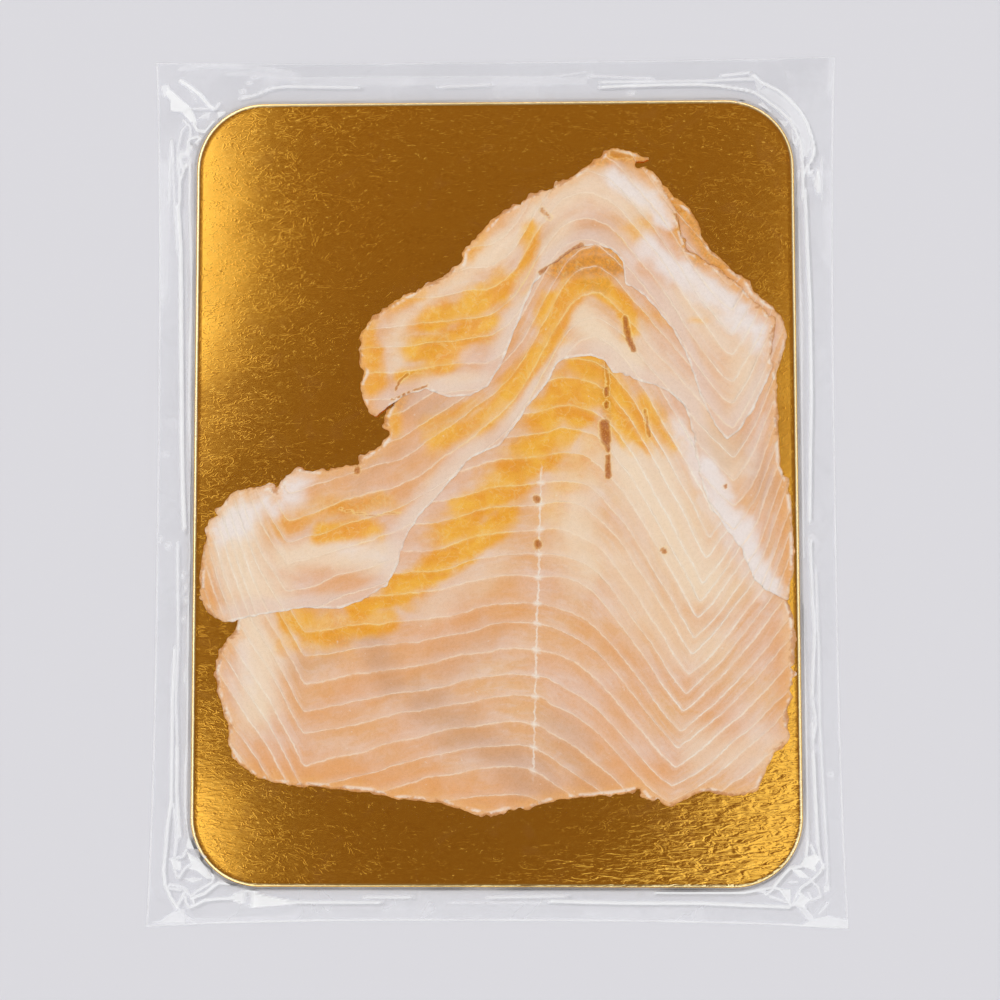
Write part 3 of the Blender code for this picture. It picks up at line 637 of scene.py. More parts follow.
def fleshMaterial(piece):
    look = Look(piece["name"] + "Flesh")
    size, across = look.layer("flakeSize"), look.layer("across")
    speck = look.noise((1.1, 1.1, 1.1))
    drift = look.noise((0.12, 0.15, 0.12), 3.0, 0.6, 0.8)
    cloud = look.noise((0.05, 0.06, 0.05), 1.0)
    grit = look.noise((2.0, 2.0, 2.0), 1.0)
    thread = look.noise((0.2, 0.2, 0.2), 2.5, 0.6, 0.6)
    jitter = look.noise((0.8, 0.8, 0.8), 2.0) - 0.5
    flake = look.layer("flake") + jitter * 0.6 / size
    shade = look.add("ShaderNodeTexWhiteNoise", {"noise_dimensions": "1D"},
                     {"W": flake.math("FLOOR") + piece["seed"]}, "Value")
    part = flake.math("FRACT")
    toSeam = abs(flake.math("PINGPONG", 0.5)) * size
    # streaks that follow the flakes
    streak = look.noise(look.join(flake * 0.9, across * 0.09, piece["seed"]), 3.0, 0.6, 0.4)
    fibre = look.noise(look.join(flake * 6.0, across * 0.16, speck * 0.5), 2.0, 0.6)

    # the lean flesh: each flake has its own shade and is deeper just below its seam
    colour = look.cover(
        flesh["rosy"], flesh,
        (look.step(cloud, 0.35, 0.68), "tan"),
        (shade * 0.3, "soft"),
        (look.step(drift, 0.45, 0.75) * 0.3, "soft"),
        (look.step(streak, 0.48, 0.75) * 0.45, "soft"),
        (look.fade(streak, 0.28, 0.52) * 0.5, "lilac"),
        (look.fade(drift, 0.28, 0.52) * 0.4, "lilac"),
        (look.step(fibre, 0.5, 0.72) * 0.35, "lilac"),
        (look.layer("smoked") * (streak * 0.6 + 0.55), "smoked"),
        (look.fade(fibre, 0.28, 0.5) * 0.25, "soft"),
        # painted shade along folds of the flesh
        (look.layer("paintedShade") * 0.85, "paintedShade"),
        (look.fade(part, 0.0, 0.7) * 0.3, "smoked"),
        (look.step(part, 0.55, 1.0) * 0.25, "lilac"),
        (look.layer("pale") * (shade * 0.2 + 0.72), "pale"))

    # fat, deepest below each seam, with paler threads and painted glints in it
    fat = look.step(look.layer("fat") * (1.3 - part * 0.5) + (streak - 0.5) * 0.5, 0.05, 0.95)
    # the threads are veins in the fat; the speckled dots are painted glints
    threadsAndGlints = look.fade(abs(thread - 0.5), 0.004, 0.022) * 0.3 + look.step(speck, 0.7, 0.8) * 0.3
    deep = look.step(streak * 0.6 + drift * 0.4 - part * 0.12, 0.3, 0.62)
    oily = look.cover(flesh["fat"], flesh, (deep, "deepFat"), (threadsAndGlints, "fatSeamAndGlint"))
    colour = look.blend(fat * 0.9, colour, oily)
    resin = look.cover(flesh["amber"], flesh, (look.step(speck, 0.35, 0.7), "deepFat"), (threadsAndGlints, "fatSeamAndGlint"))
    amber = look.step(look.layer("amber") + (speck - 0.5) * 0.2, 0.05, 0.95)
    colour = look.blend(amber * 0.9, colour, resin)
    # painted highlight: patches whitened where the flesh and its film are glossy
    whiteAndHighlight = look.step(look.layer("whiteAndHighlight") * 0.9 + (drift - 0.5) * 0.6 + (streak - 0.5) * 0.5, 0.1, 0.95)
    colour = look.cover(colour, flesh, (look.layer("skin") * (streak * 0.6 + 0.2), "skin"),
                        (whiteAndHighlight * 0.92, "whiteAndHighlight"))

    # seams between the flakes
    lined = look.layer("lined")
    line = look.blend(lined * 0.8, look.blend(fat, flesh["seam"], flesh["fatSeamAndGlint"]), flesh["brightSeamAndHighlight"])
    colour = look.blend(look.fade(toSeam, 0.15, 1.1) * (lined * 0.1 + 0.1), colour, line)
    seam = look.fade(toSeam, 0.06, 0.3) * (look.step(thread, 0.3, 0.6) * 0.8 + 0.2)
    colour = look.blend(seam * (lined * 0.2 + 0.6), colour, line)
    toSpine = abs(across + jitter * 1.4)
    knot = look.fade(toSeam, 0.1, 1.2) * look.fade(toSpine, 0.3, 1.7) * 0.6
    spine = look.fade(toSpine, 0.1, 0.4) * (look.step(thread, 0.3, 0.55) * 0.45 + 0.2)

    # torn brown rim with painted wet glints, a painted highlight along the lip of the front edge, and pores
    # with a pale ring
    rim = look.layer("rim")
    ragged = rim + jitter * 3.0 + (drift - 0.5) * 7.0
    paintedWetGlint = look.band(rim, 0.3, 0.7, 0.9, 1.8) * look.step(thread, 0.45, 0.6)
    # painted highlight along the lip of the front edge
    lip = look.fade(look.layer("front") + jitter * 0.6, 0.2, 0.8)
    pore = look.layer("stain") + (speck - 0.5) * 0.5
    brown = look.step(pore, 0.4, 0.75) * (1.0 - look.step(grit, 0.52, 0.62) * 0.6)
    colour = look.cover(
        colour, flesh,
        (spine.math("MAXIMUM", knot) * look.layer("spine"), "brightSeamAndHighlight"),
        (look.fade(ragged, 0.2, 4.5) * 0.5, "rimSoft"),
        (paintedWetGlint * 0.6, "brightSeamAndHighlight"),
        (look.fade(ragged, -0.4, 1.0) * 0.7, "rim"),
        # small painted glints all over
        (look.step(jitter * -1.0, 0.2, 0.3) * 0.35, "brightSeamAndHighlight"),
        (lip * (look.step(thread, 0.3, 0.6) * 0.6 + 0.15), "brightSeamAndHighlight"),
        (look.band(pore, 0.08, 0.2, 0.2, 0.32) * (fat * 0.4 + 0.3), "fatSeamAndGlint"),
        (look.step(pore, 0.22, 0.46) * 0.75, "amber"),
        (brown * 0.7, "stain"))

    normal = look.bump(look.step(toSeam, 0.0, 0.6), 0.6, 0.2)
    normal = look.bump(speck, 0.4, 0.25, normal)
    normal = look.bump(fibre, 0.5, 0.15, normal)
    normal = look.bump(streak, 0.6, 1.0, normal)
    return look.close({"Base Color": colour, "Roughness": speck * 0.2 + 0.18, "Normal": normal, "IOR": 1.45})


def sliceSheet(outline, step):
    # a grid cut to the outline, its border drawn onto it
    low, high = outline.min(axis=0) - step, outline.max(axis=0) + step
    counts = np.maximum(2, np.round((high - low) / step)).astype(int)
    bm = bmesh.new()
    bmesh.ops.create_grid(bm, x_segments=int(counts[0]), y_segments=int(counts[1]), size=0.5)
    bmesh.ops.scale(bm, vec=(high[0] - low[0], high[1] - low[1], 1.0), verts=bm.verts)
    bmesh.ops.translate(bm, vec=(*(0.5 * (high + low)), 0.0), verts=bm.verts)
    middles = np.array([face.calc_center_median()[:2] for face in bm.faces])
    depth = nearestOn(outline, middles[:, 0], middles[:, 1])[0]
    bmesh.ops.delete(bm, geom=[f for f, d in zip(bm.faces[:], depth) if d < 0.0], context="FACES")
    while True:      # no corner may hang on by a single point
        pinched = [v for v in bm.verts if sum(e.is_boundary for e in v.link_edges) > 2]
        if not pinched:
            break
        bmesh.ops.delete(bm, geom=list({min(v.link_faces, key=lambda f: f.index) for v in pinched}),
                         context="FACES")
        bm.faces.index_update()
    keepLargest(bm)
    border = [v for v in bm.verts if v.is_boundary]
    spots = np.array([v.co[:2] for v in border])
    _, nearX, nearY = nearestOn(outline, spots[:, 0], spots[:, 1])
    for vert, x, y in zip(border, nearX, nearY):
        vert.co.x, vert.co.y = x, y
    ring = {v for b in border for e in b.link_edges for v in e.verts if not v.is_boundary}
    for _ in range(3):
        bmesh.ops.smooth_vert(bm, verts=list(ring), factor=0.5, use_axis_x=True, use_axis_y=True)
    return bm


def keepLargest(bm):
    bm.faces.ensure_lookup_table()
    left = set(bm.faces)
    groups = []
    while left:
        group, edge = set(), [left.pop()]
        while edge:
            face = edge.pop()
            group.add(face)
            for near in {f for e in face.edges for f in e.link_faces}:
                if near in left:
                    left.discard(near)
                    edge.append(near)
        groups.append(group)
    groups.sort(key=len)
    bmesh.ops.delete(bm, geom=[f for group in groups[:-1] for f in group], context="FACES")


def makeSlice(index):
    piece = slices[index]
    bm = sliceSheet(piece["outline"], lay["step"])
    upper = bm.verts[:]
    bmesh.ops.extrude_face_region(bm, geom=bm.faces[:])
    isTop = set(upper)
    x = np.array([v.co.x for v in bm.verts])
    y = np.array([v.co.y for v in bm.verts])
    top = np.array([v in isTop for v in bm.verts])
    below = slices[:index + 1]
    depths = [nearestOn(other["outline"], x, y)[0] for other in below]
    outers = [outerFar(other, x, y) for other in below]
    depth, outer = np.maximum(depths[index], 0.0), outers[index]
    floor, height = layerTops(depths, outers)[index]
    number = wanderingField(piece, x, y)
    under = np.zeros(len(x))      # relief of the slice below, felt near the front edge
    for other, inside in zip(below[:-1], depths):
        under = np.where(inside > 0, relief(other, np.maximum(inside, 0.0), x, y), under)
    under *= 1 - smoothStep(depth / 5.0)
    lip = 0.5 - 0.45 * smoothStep(outer, *lay["thin"])
    edge = 1 - np.clip(depth / lay["round"], 0, 1)
    shoulder = lip * (1 - np.sqrt(1 - edge ** 2))      # the cut edge is rounded
    floor = floor + under
    height = height + relief(piece, depth, x, y) + under - shoulder
    z = np.where(top, height, floor + 0.5 * lip * edge)
    for vert, level in zip(bm.verts, z):
        vert.co = (vert.co.x * mm, (vert.co.y + contentShift) * mm, level * mm)
    bmesh.ops.recalc_face_normals(bm, faces=bm.faces)
    result = finish(bm, piece["name"], fleshMaterial(piece))
    slope = 0.4      # half the distance over which the size of a flake is felt
    stepX = seamField(piece, x + slope, y) - seamField(piece, x - slope, y)
    stepY = seamField(piece, x, y + slope) - seamField(piece, x, y - slope)
    front = frontFar(piece, x, y)
    layers = {
        "flake": number, "flakeSize": np.clip(2 * slope / (np.hypot(stepX, stepY) + 1e-6), 0.5, 9.0),
        "across": x - (piece["frame"][2] + piece["lean"][2] * y), "spine": spineMask(index, y),
        "rim": np.clip(outer, 0.0, farOff), "front": np.clip(front, 0.0, farOff),
        "skin": skinBand(piece, front, x, y)}
    for k, zone in enumerate(zoneNames):
        layers[zone] = zoneMask(piece["zones"].get(zone, []), x, y, number, piece["seed"] + 30 + k)
    for name, values in layers.items():
        store(result, name, values)
    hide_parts(piece["node"])
    print("slice", piece["name"], len(result.data.polygons), "faces")


# clear film pouch
# creases and sheen are strokes in millimetres: points, half width and how white the highlight painted on
# them shows
# facets are small flat patches: corners and how white the reflection painted on them shows

film = {
    # white tints the milky film and is painted onto creases, facets, sheen and rims as highlight; dark is
    # the painted shade beside the card and the creases
    "clear": (0.3, 0.32, 0.35, 1), "whiteAndHighlight": (0.97, 0.98, 1.0, 1), "paintedShadeTint": (0.05, 0.045, 0.04, 1),
    "fine": 0.32, "coarse": 1.8, "border": 24.0, "thick": 0.35, "skirt": 1.6,
    "sideBow": 1.8, "topBow": 0.8, "bottomBow": 2.0,
    # how far the film stays off the card and the fish, and how high creases, facets and sheen stand
    "cling": 0.1, "rise": (0.3, 0.25, 0.2),
    # lines along the card: how far outside its edge they run and how wide they are, for the painted shade in
    # the gap, the painted highlight on the rim and the raised seal
    "gapShadeLine": (0.5, 0.55), "shineLine": (-0.55, 0.35), "sealLine": (10.2, 0.35), "sealRise": 0.25,
    # the same for the painted highlight inside the pouch's own edge, and where the painted dark line beside
    # a crease falls
    "edgeHighlightLine": (0.3, 0.3), "shadeShift": (0.7, -0.6), "shade": 0.2,
    "creases": [
        ([(-94, 84), (-93, 70.5), (-92.5, 40.5), (-92, 11), (-91.5, -3.5), (-91, -12.5)], 0.6, 0.9),
        ([(-93, -17), (-92.5, -44.5), (-93, -62), (-92.5, -75)], 0.3, 0.6),
        ([(-92.5, -75), (-92.5, -88), (-92, -95), (-91.5, -101)], 0.5, 0.75),
        ([(-96, 100.5), (-95, 85.5), (-94, 70.5)], 0.3, 0.45),
        ([(-90.5, 97.5), (-90.5, 85.5), (-90, 70.5), (-89.5, 61.5), (-90, 40.5), (-90, 20), (-89, 5),
          (-89.5, -6.5), (-89, -17), (-89, -27), (-89.5, -39), (-89.5, -62), (-89.5, -73.5), (-90, -82),
          (-90, -92.5), (-89.5, -97), (-88.5, -101.5)], 0.3, 0.6),
        ([(-93.5, -47.5), (-94, -62), (-94, -79.5), (-94, -91), (-95, -98), (-95.5, -105), (-96, -111),
          (-95.5, -115), (-94, -118.5), (-92, -121.5)], 0.4, 0.8), ([(-92, -26.5), (-89, -24)], 0.2, 0.5),
        ([(-91.5, -31), (-89.5, -28)], 0.2, 0.5), ([(-92.5, -34.5), (-90, -33)], 0.2, 0.5),
        ([(-92, -39.5), (-90, -37.5)], 0.2, 0.4), ([(-98, -15.5), (-95, -17.5)], 0.4, 0.5),
        ([(-98, 9.5), (-95, 10.5)], 0.3, 0.25), ([(-93.5, -91), (-92.5, -101), (-93, -107.5)], 0.2, 0.6),
        ([(-92, -101), (-93, -108.5)], 0.2, 0.5), ([(-94, -108), (-90.5, -107), (-89.5, -105)], 0.3, 0.7),
        ([(-91.5, -113), (-90, -110.5), (-85.5, -107.5)], 0.3, 0.7),
        ([(-85.5, -108), (-82, -110.5), (-81.5, -113), (-83.5, -113)], 0.3, 0.8),
        ([(-81.5, -113), (-82, -114.5), (-86.5, -117), (-88, -118.5)], 0.3, 0.7),
        ([(-89, -117), (-91, -115.5), (-94, -115), (-95, -116), (-91, -116.5)], 0.3, 0.6),
        ([(-93.5, -108.5), (-92, -113)], 0.3, 0.6),
        ([(-88, -119), (-84, -117.5), (-81.5, -115.5), (-80, -114.5), (-73.5, -115)], 0.4, 0.8),
        ([(-89.5, -116.5), (-91, -119.5), (-92, -121)], 0.4, 0.7),
        ([(-89.5, -118.5), (-89.5, -120), (-88.5, -121.5), (-87, -121), (-87.5, -118.5),
          (-89, -117.5)], 0.3, 0.7),
        ([(-87, -121), (-84, -119.5), (-79.5, -119), (-77, -119), (-73.5, -117)], 0.3, 0.8),
        ([(-92, -121), (-90.5, -123.5), (-86.5, -126)], 0.4, 0.5),
        ([(-59, -120), (-50.5, -120), (-33, -120)], 0.3, 0.8),
        ([(-93.5, 121.5), (-90.5, 119.5)], 0.5, 0.95),
        ([(-90.5, 119.5), (-87.5, 117), (-85, 114), (-83.5, 113)], 0.5, 0.95),
        ([(-91, 119), (-89.5, 117), (-89, 115.5)], 0.2, 0.35), ([(-90.5, 113), (-84, 113)], 0.2, 0.55),
        ([(-83, 113), (-82, 114.5)], 0.4, 0.6),
        ([(-92.5, 109.5), (-90.5, 107.5), (-90.5, 104.5), (-91.5, 102.5), (-91, 100.5)], 0.3, 0.6),
        ([(-89.5, 108.5), (-88.5, 106.5), (-86, 106), (-83.5, 109)], 0.4, 0.85),
        ([(-90.5, 104), (-88, 104.5), (-87.5, 104), (-90.5, 101), (-91.5, 102.5), (-90.5, 104)], 0.3, 0.8),
        ([(-91, 109), (-93, 106.5), (-94, 102), (-94.5, 98)], 0.2, 0.5),
        ([(-96, 102), (-95.5, 97.5), (-94, 96), (-93.5, 91.5)], 0.3, 0.7),
        ([(-90.5, 97), (-92, 95.5), (-93.5, 91), (-93.5, 84)], 0.3, 0.8),
        ([(-94.5, 94.5), (-93, 96), (-90, 97)], 0.3, 0.7),
        ([(-96, 103.5), (-96.5, 94.5), (-96.5, 85.5)], 0.4, 0.5),
        ([(-75.5, 116), (-71, 117), (-66.5, 119), (-62, 119.5), (-40, 119)], 0.3, 0.65),
        ([(-75.5, 115.5), (-75, 118.5), (-72.5, 121.5), (-71.5, 122.5)], 0.2, 0.4),
        ([(-16, 119), (-1, 119.5)], 0.3, 0.5),
        ([(31.5, 118.5), (49, 119), (61, 119), (67, 118.5), (73, 117.5), (77, 116.5), (80, 114.5),
          (84.5, 111), (87.5, 108), (89, 105), (90.5, 100.5), (91, 93.5), (91, 84)], 0.3, 0.9),
        ([(28.5, 122), (35, 121.5), (46.5, 121)], 0.2, 0.4),
        ([(31.5, 120), (61, 120), (71.5, 120.5), (77.5, 120.5)], 0.3, 0.6),
        ([(67, 121.5), (76, 122.5)], 0.3, 0.6), ([(40, 118), (41.5, 116)], 0.3, 0.4),
        ([(28, 123.5), (28.5, 121.5)], 0.2, 0.35),
        ([(-58, 122), (-44.5, 122), (-13, 122), (15, 121.5), (27, 123)], 0.2, 0.25),
        ([(77, 121.5), (79, 119.5), (81, 118.5), (84, 117), (87.5, 114), (90.5, 110.5), (92.5, 107),
          (94, 102), (94.5, 98.5), (93.5, 96), (92, 93.5), (91, 92)], 0.4, 0.9),
        ([(91, 91.5), (93.5, 92.5), (94.5, 90.5), (93.5, 89.5)], 0.3, 0.7),
        ([(90, 93), (89, 88.5), (88.5, 84)], 0.2, 0.45), ([(88, 105), (88.5, 100.5)], 0.2, 0.5),
        ([(91.5, 87), (92, 69), (92.5, 54.5), (92.5, 39.5), (92.5, 25), (92, 10.5),
          (91.5, -10)], 0.4, 0.85),
        ([(91.5, -16), (92, -33.5), (92.5, -42), (92, -50.5), (91.5, -60.5)], 0.4, 0.7),
        ([(91.5, -62), (92.5, -68.5), (91.5, -74), (91.5, -68)], 0.3, 0.7),
        ([(91.5, -76.5), (92, -90.5), (92.5, -103.5)], 0.4, 0.8),
        ([(89, 82.5), (89.5, 66.5), (90, 45.5), (89.5, 19), (89.5, -4.5), (89.5, -21.5)], 0.3, 0.45),
        ([(89, -35), (89.5, -62), (89.5, -90.5), (89.5, -102.5)], 0.3, 0.5),
        ([(93, -24.5), (93.5, -47.5), (93.5, -68), (94, -82), (95, -107.5), (95, -114.5)], 0.3, 0.5),
        ([(94.5, -84), (99, -82.5)], 0.2, 0.3), ([(96.5, 96), (96.5, 84)], 0.2, 0.4),
        ([(92.5, -103.5), (93, -107), (94, -110)], 0.3, 0.7), ([(90.5, -103.5), (92, -107)], 0.4, 0.7),
        ([(89.5, -102.5), (89, -107.5), (87.5, -109.5), (84.5, -110), (82.5, -112),
          (79.5, -115.5)], 0.4, 0.85),
        ([(79.5, -115.5), (76.5, -116), (77.5, -117.5), (79.5, -116)], 0.3, 0.7),
        ([(79.5, -115.5), (81.5, -116), (83, -118), (84.5, -120.5)], 0.3, 0.8),
        ([(78.5, -118), (81.5, -119), (86, -120.5), (88.5, -121)], 0.3, 0.6),
        ([(94, -109), (93, -111), (90.5, -113.5), (87.5, -115.5), (86, -118), (85, -120.5)], 0.3, 0.7),
        ([(90.5, -113.5), (92.5, -115.5), (93, -118), (90.5, -119), (89.5, -117)], 0.3, 0.5),
        ([(88, -121), (90.5, -124)], 0.4, 0.5), ([(95, -120), (92.5, -123)], 0.2, 0.4),
        ([(84, -114), (86.5, -114)], 0.2, 0.45),
        ([(46, -117), (58.5, -117), (71.5, -117), (76.5, -116)], 0.3, 0.85),
        ([(15.5, -119.5), (36, -120), (58.5, -120), (70, -120.5), (84, -121)], 0.4, 0.85),
        ([(-13, -120), (13, -120)], 0.2, 0.3), ([(-37.5, -118.5), (-24, -118.5)], 0.3, 0.6),
        ([(-2, -118.5), (20.5, -118)], 0.3, 0.6)],
    "facets": [
        ([(-97.5, 119.5), (-95.5, 118), (-93, 115.5), (-91, 114), (-89.5, 111.5), (-88.5, 108.5),
          (-90.5, 109), (-93, 112), (-96.5, 112.5), (-96.5, 115.5), (-98, 117.5)], 0.95),
        ([(-99.5, 120), (-97, 120.5), (-96.5, 118), (-98.5, 116.5)], 0.6),
        ([(-88.5, 110), (-86.5, 111.5), (-84.5, 112), (-85, 110)], 0.45),
        ([(-82.5, 112), (-80, 112), (-82, 109)], 0.75),
        ([(-94.5, 97.5), (-93.5, 100), (-91, 101), (-90, 100), (-92, 98.5), (-94, 96.5)], 0.75),
        ([(77, 121.5), (80, 118.5), (78, 116.5)], 0.5),
        ([(78, 117), (81, 118), (87.5, 113.5), (92, 107), (94, 99), (91.5, 96.5), (90, 104.5),
          (86.5, 110.5)], 0.5), ([(90.5, 105.5), (93.5, 104.5), (94, 98.5), (91.5, 97.5)], 0.4),
        ([(78, 113), (79.5, 113.5), (82, 110.5), (80.5, 110)], 0.6),
        ([(83, 108.5), (87, 107.5), (86, 106), (84, 106.5)], 0.5),
        ([(88, 102), (89.5, 102), (89.5, 99.5), (88, 100)], 0.8),
        ([(71.5, 114), (73.5, 114), (74.5, 113), (72, 113.5)], 0.9),
        ([(95, 93.5), (96, 92), (96, 85.5), (94, 88), (95, 90.5)], 0.95),
        ([(-89, -101.5), (-88, -101.5), (-85.5, -104.5), (-87.5, -105), (-89.5, -104.5)], 0.85),
        ([(-89.5, -105.5), (-86.5, -107.5), (-85, -109), (-87.5, -110.5)], 0.95),
        ([(-94, -107.5), (-91, -108.5), (-91, -111), (-93, -110.5)], 0.9),
        ([(-85.5, -105.5), (-83.5, -107), (-85, -108.5)], 0.9),
        ([(-89, -110.5), (-85.5, -108.5), (-83.5, -110.5), (-82, -113), (-84, -113), (-86.5, -111)], 0.9),
        ([(-90, -113.5), (-87.5, -113), (-84.5, -113.5), (-87.5, -114.5)], 0.7),
        ([(-77, -119), (-73.5, -116.5), (-71.5, -121), (-74.5, -120)], 0.8),
        ([(-71.5, -116.5), (-70, -116), (-67.5, -118), (-59, -119.5), (-59, -120.5), (-63.5, -121),
          (-70, -121.5)], 0.95),
        ([(-97, -125.5), (-93.5, -123), (-90, -122), (-89.5, -126), (-99.5, -126)], 0.55),
        ([(88.5, -107), (92, -106), (93, -107.5), (91.5, -109.5), (92, -111), (89.5, -110),
          (87.5, -109.5)], 0.95), ([(84.5, -110), (87.5, -110.5), (90, -113), (87, -112.5)], 0.85),
        ([(82, -116), (84.5, -116), (84.5, -120)], 0.8),
        ([(86.5, -116), (90, -119), (88, -121), (85, -120.5), (87, -118)], 0.8),
        ([(94, -115), (95.5, -114), (95.5, -116.5), (94, -117)], 0.6),
        ([(90.5, -124.5), (95, -123.5), (100.5, -124.5), (100.5, -127), (87, -126.5)], 0.6),
        ([(86, -120.5), (89, -122), (91.5, -124.5), (89.5, -125)], 0.45),
        ([(-90.5, -51.5), (-89, -53), (-89.5, -59), (-91, -57)], 0.35)],
    "sheen": [
        ([(-98, 96), (-98, 76.5), (-98.5, 55.5)], 1.8, 0.5),
        ([(-93.5, 125), (-87.5, 126.5), (-78.5, 126), (-69, 125), (-60, 123.5)], 0.9, 0.45),
        ([(-79.5, 123.5), (-72.5, 123.5), (-65, 122.5), (-58, 121.5)], 0.9, 0.4),
        ([(-57.5, 121), (-13, 120.5), (27, 120.5)], 1.3, 0.35), ([(100.5, 126), (100, 117)], 1.5, 0.35),
        ([(98.5, 91.5), (98, 66)], 2.1, 0.25), ([(92, -15), (92, -19)], 1.5, 0.4),
        ([(-81, -125.5), (-78, -125.5)], 1.2, 0.3), ([(-94, -125.5), (-59, -124.5)], 0.9, 0.3),
        ([(-56.5, -123.5), (1.5, -123), (58.5, -123.5)], 1.8, 0.15),
        ([(-92, 82.5), (-91.5, 46.5), (-90.5, -9.5)], 0.9, 0.3)],
    # how dark the painted shade in the gap beside the card is and how bright the painted highlight on its
    # rim is: left, right, top, bottom
    "gap": (0.35, 0.4, 0.2, 0.8), "shine": (0.25, 0.2, 0.2, 0.05),
    # how bright the painted highlight along the pouch's own edge is, the same way
    "edge": (0.5, 0.55, 0.25, 0.8)}


def cardDistance(x, y):
    # distance outside the card's rounded outline, negative on the card
    half = 0.5 * (cardHigh - cardLow)
    outX = np.abs(x) - (half.x - card["corner"])
    outY = np.abs(y - contentShift) - (half.y - card["corner"])
    outside = np.hypot(np.maximum(outX, 0), np.maximum(outY, 0))
    return outside + np.minimum(np.maximum(outX, outY), 0) - card["corner"]


def bySide(strengths, x, y):
    # a value for each side, eased round the corners
    left, right, top, bottom = strengths
    turn = smoothStep(np.abs(x) / cardHigh.x - np.abs(y - contentShift) / cardHigh.y, -0.08, 0.08)
    return np.where(x < 0, left, right) * turn + np.where(y > 0, top, bottom) * (1 - turn)


def sideBow(along):
    # how far a side of the pouch is drawn in, from its middle (0) to its corners (1)
    return film["sideBow"] * (1 - np.minimum(np.abs(along), 1.0) ** 3)


def endBow(along, y):
    # the same for the far and the near end
    bow = np.where(y > 0, film["topBow"], film["bottomBow"])
    return bow * (1 - np.minimum(np.abs(along), 1.0) ** 3)


def creaseMasks(x, y):
    # painted white highlights on the creases, facets, sheen and rims of the crumpled film, and painted shade
    # in the gap beside the card and beside each crease
    out = cardDistance(x, y)
    patchy = np.clip(0.8 + 0.5 * noiseAt(x, y, 12.0, 51.0), 0.0, 1.0)
    # painted shade in the gap beside the card, and a painted highlight on its rim
    gap = bySide(film["gap"], x, y) * patchy * bell(out, *film["gapShadeLine"])
    creaseAndHighlight = bySide(film["shine"], x, y) * patchy * bell(out, *film["shineLine"])
    # painted highlight along the pouch's own edge
    toEdge = np.minimum(pouchHigh.x - sideBow(y / pouchHigh.y) - np.abs(x),
                        pouchHigh.y - endBow(x / pouchHigh.x, y) - np.abs(y))
    edge = bySide(film["edge"], x, y) * patchy * bell(toEdge, *film["edgeHighlightLine"])
    creaseAndHighlight = np.maximum(creaseAndHighlight, edge)
    # painted shade as a dark line beside each crease
    shade = np.zeros(len(x))      # dark line beside each crease
    shiftX, shiftY = film["shadeShift"]
    for points, half, strength in film["creases"]:
        far = farFrom(points, x, y)
        creaseAndHighlight = np.maximum(creaseAndHighlight, strength * (1 - smoothStep(far, 0.4 * half, half + 0.42)))
        beside = farFrom(points, x - shiftX, y - shiftY)
        shade = np.maximum(shade, film["shade"] * strength * (1 - smoothStep(beside, 0.3, 0.9)))
    facet = np.zeros(len(x))
    # white reflection painted on the facets
    for points, strength in film["facets"]:      # flat shiny patches between the creases
        depth = nearestOn(np.array(points), x, y)[0]
        facet = np.maximum(facet, strength * smoothStep(depth, -0.25, 0.15))
    sheen = np.zeros(len(x))
    for points, half, strength in film["sheen"]:
        sheen = np.maximum(sheen, strength * (1 - smoothStep(farFrom(points, x, y), 0.3 * half, 1.5 * half)))
    whiteAndHighlight = np.maximum(creaseAndHighlight, facet)
    return creaseAndHighlight, facet, sheen, np.maximum(gap, shade * (1 - np.clip(1.6 * whiteAndHighlight, 0, 1)))


def filmHeight(x, y, creaseAndHighlight, facet, sheen):
    out = cardDistance(x, y)
    wobble = 0.7 * noiseAt(x, y, 30.0, 12.0) + 0.3 * noiseAt(x, y, 9.0, 13.0)
    creaseRise, facetRise, sheenRise = film["rise"]
    flange = film["thick"] + creaseRise * creaseAndHighlight + facetRise * facet + sheenRise * sheen
    flange += 0.12 * (wobble + 0.6)
    flange += film["sealRise"] * bell(out, *film["sealLine"])
    flange = film["thick"] + (flange - film["thick"]) * smoothStep(out, 0.5, 1.6)
    down = smoothStep(out, 0.15, film["skirt"])
    top = cardHigh.z + film["cling"]
    return np.where(out < 0.15, top, top * (1 - down) + flange * down)


def gridLines(half):
    # places of the grid lines across the pouch, close together near its edges
    border = np.linspace(-half, film["border"] - half, round(film["border"] / film["fine"]) + 1)
    inner = np.linspace(border[-1], -border[-1], round(-2 * border[-1] / film["coarse"]) + 1)
    return np.concatenate([border, inner[1:-1], -border[::-1]])


def neighbours(grid):
    # highest and mean value of each point and those around it
    around = np.pad(grid, 1, mode="edge")
    near = [around[i:i + grid.shape[0], j:j + grid.shape[1]] for i in range(3) for j in range(3)]
    return np.maximum.reduce(near), sum(near) / 9


def filmMaterial():
    look = Look("clearFilm")
    margin, creaseAndHighlight, gap = look.layer("margin"), look.layer("creaseAndHighlight"), look.layer("gap")
    haze = look.noise((0.07, 0.07, 0.07), 2.0, 0.6, 1.2)
    milky = look.step(haze, 0.5, 0.72)
    shine = look.add("ShaderNodeLayerWeight", None, {"Blend": 0.3}, "Fresnel")
    clear = margin * (haze * 0.016 + milky * 0.055 + 0.018) + shine * 0.06 + 0.006
    alpha = clear.math("MAXIMUM", creaseAndHighlight * (haze * 0.4 + 0.75)).math("MAXIMUM", gap)
    # white where highlights are painted or the film is milky, dark where shade is painted beside the card
    # and the creases
    tint = look.blend(look.step(creaseAndHighlight + milky * 0.1, 0.02, 0.14), film["clear"], film["whiteAndHighlight"])
    tint = look.blend(look.step(gap, 0.04, 0.14), tint, film["paintedShadeTint"])
    return look.close({"Base Color": tint, "Roughness": haze * 0.1 + 0.08, "Alpha": alpha})


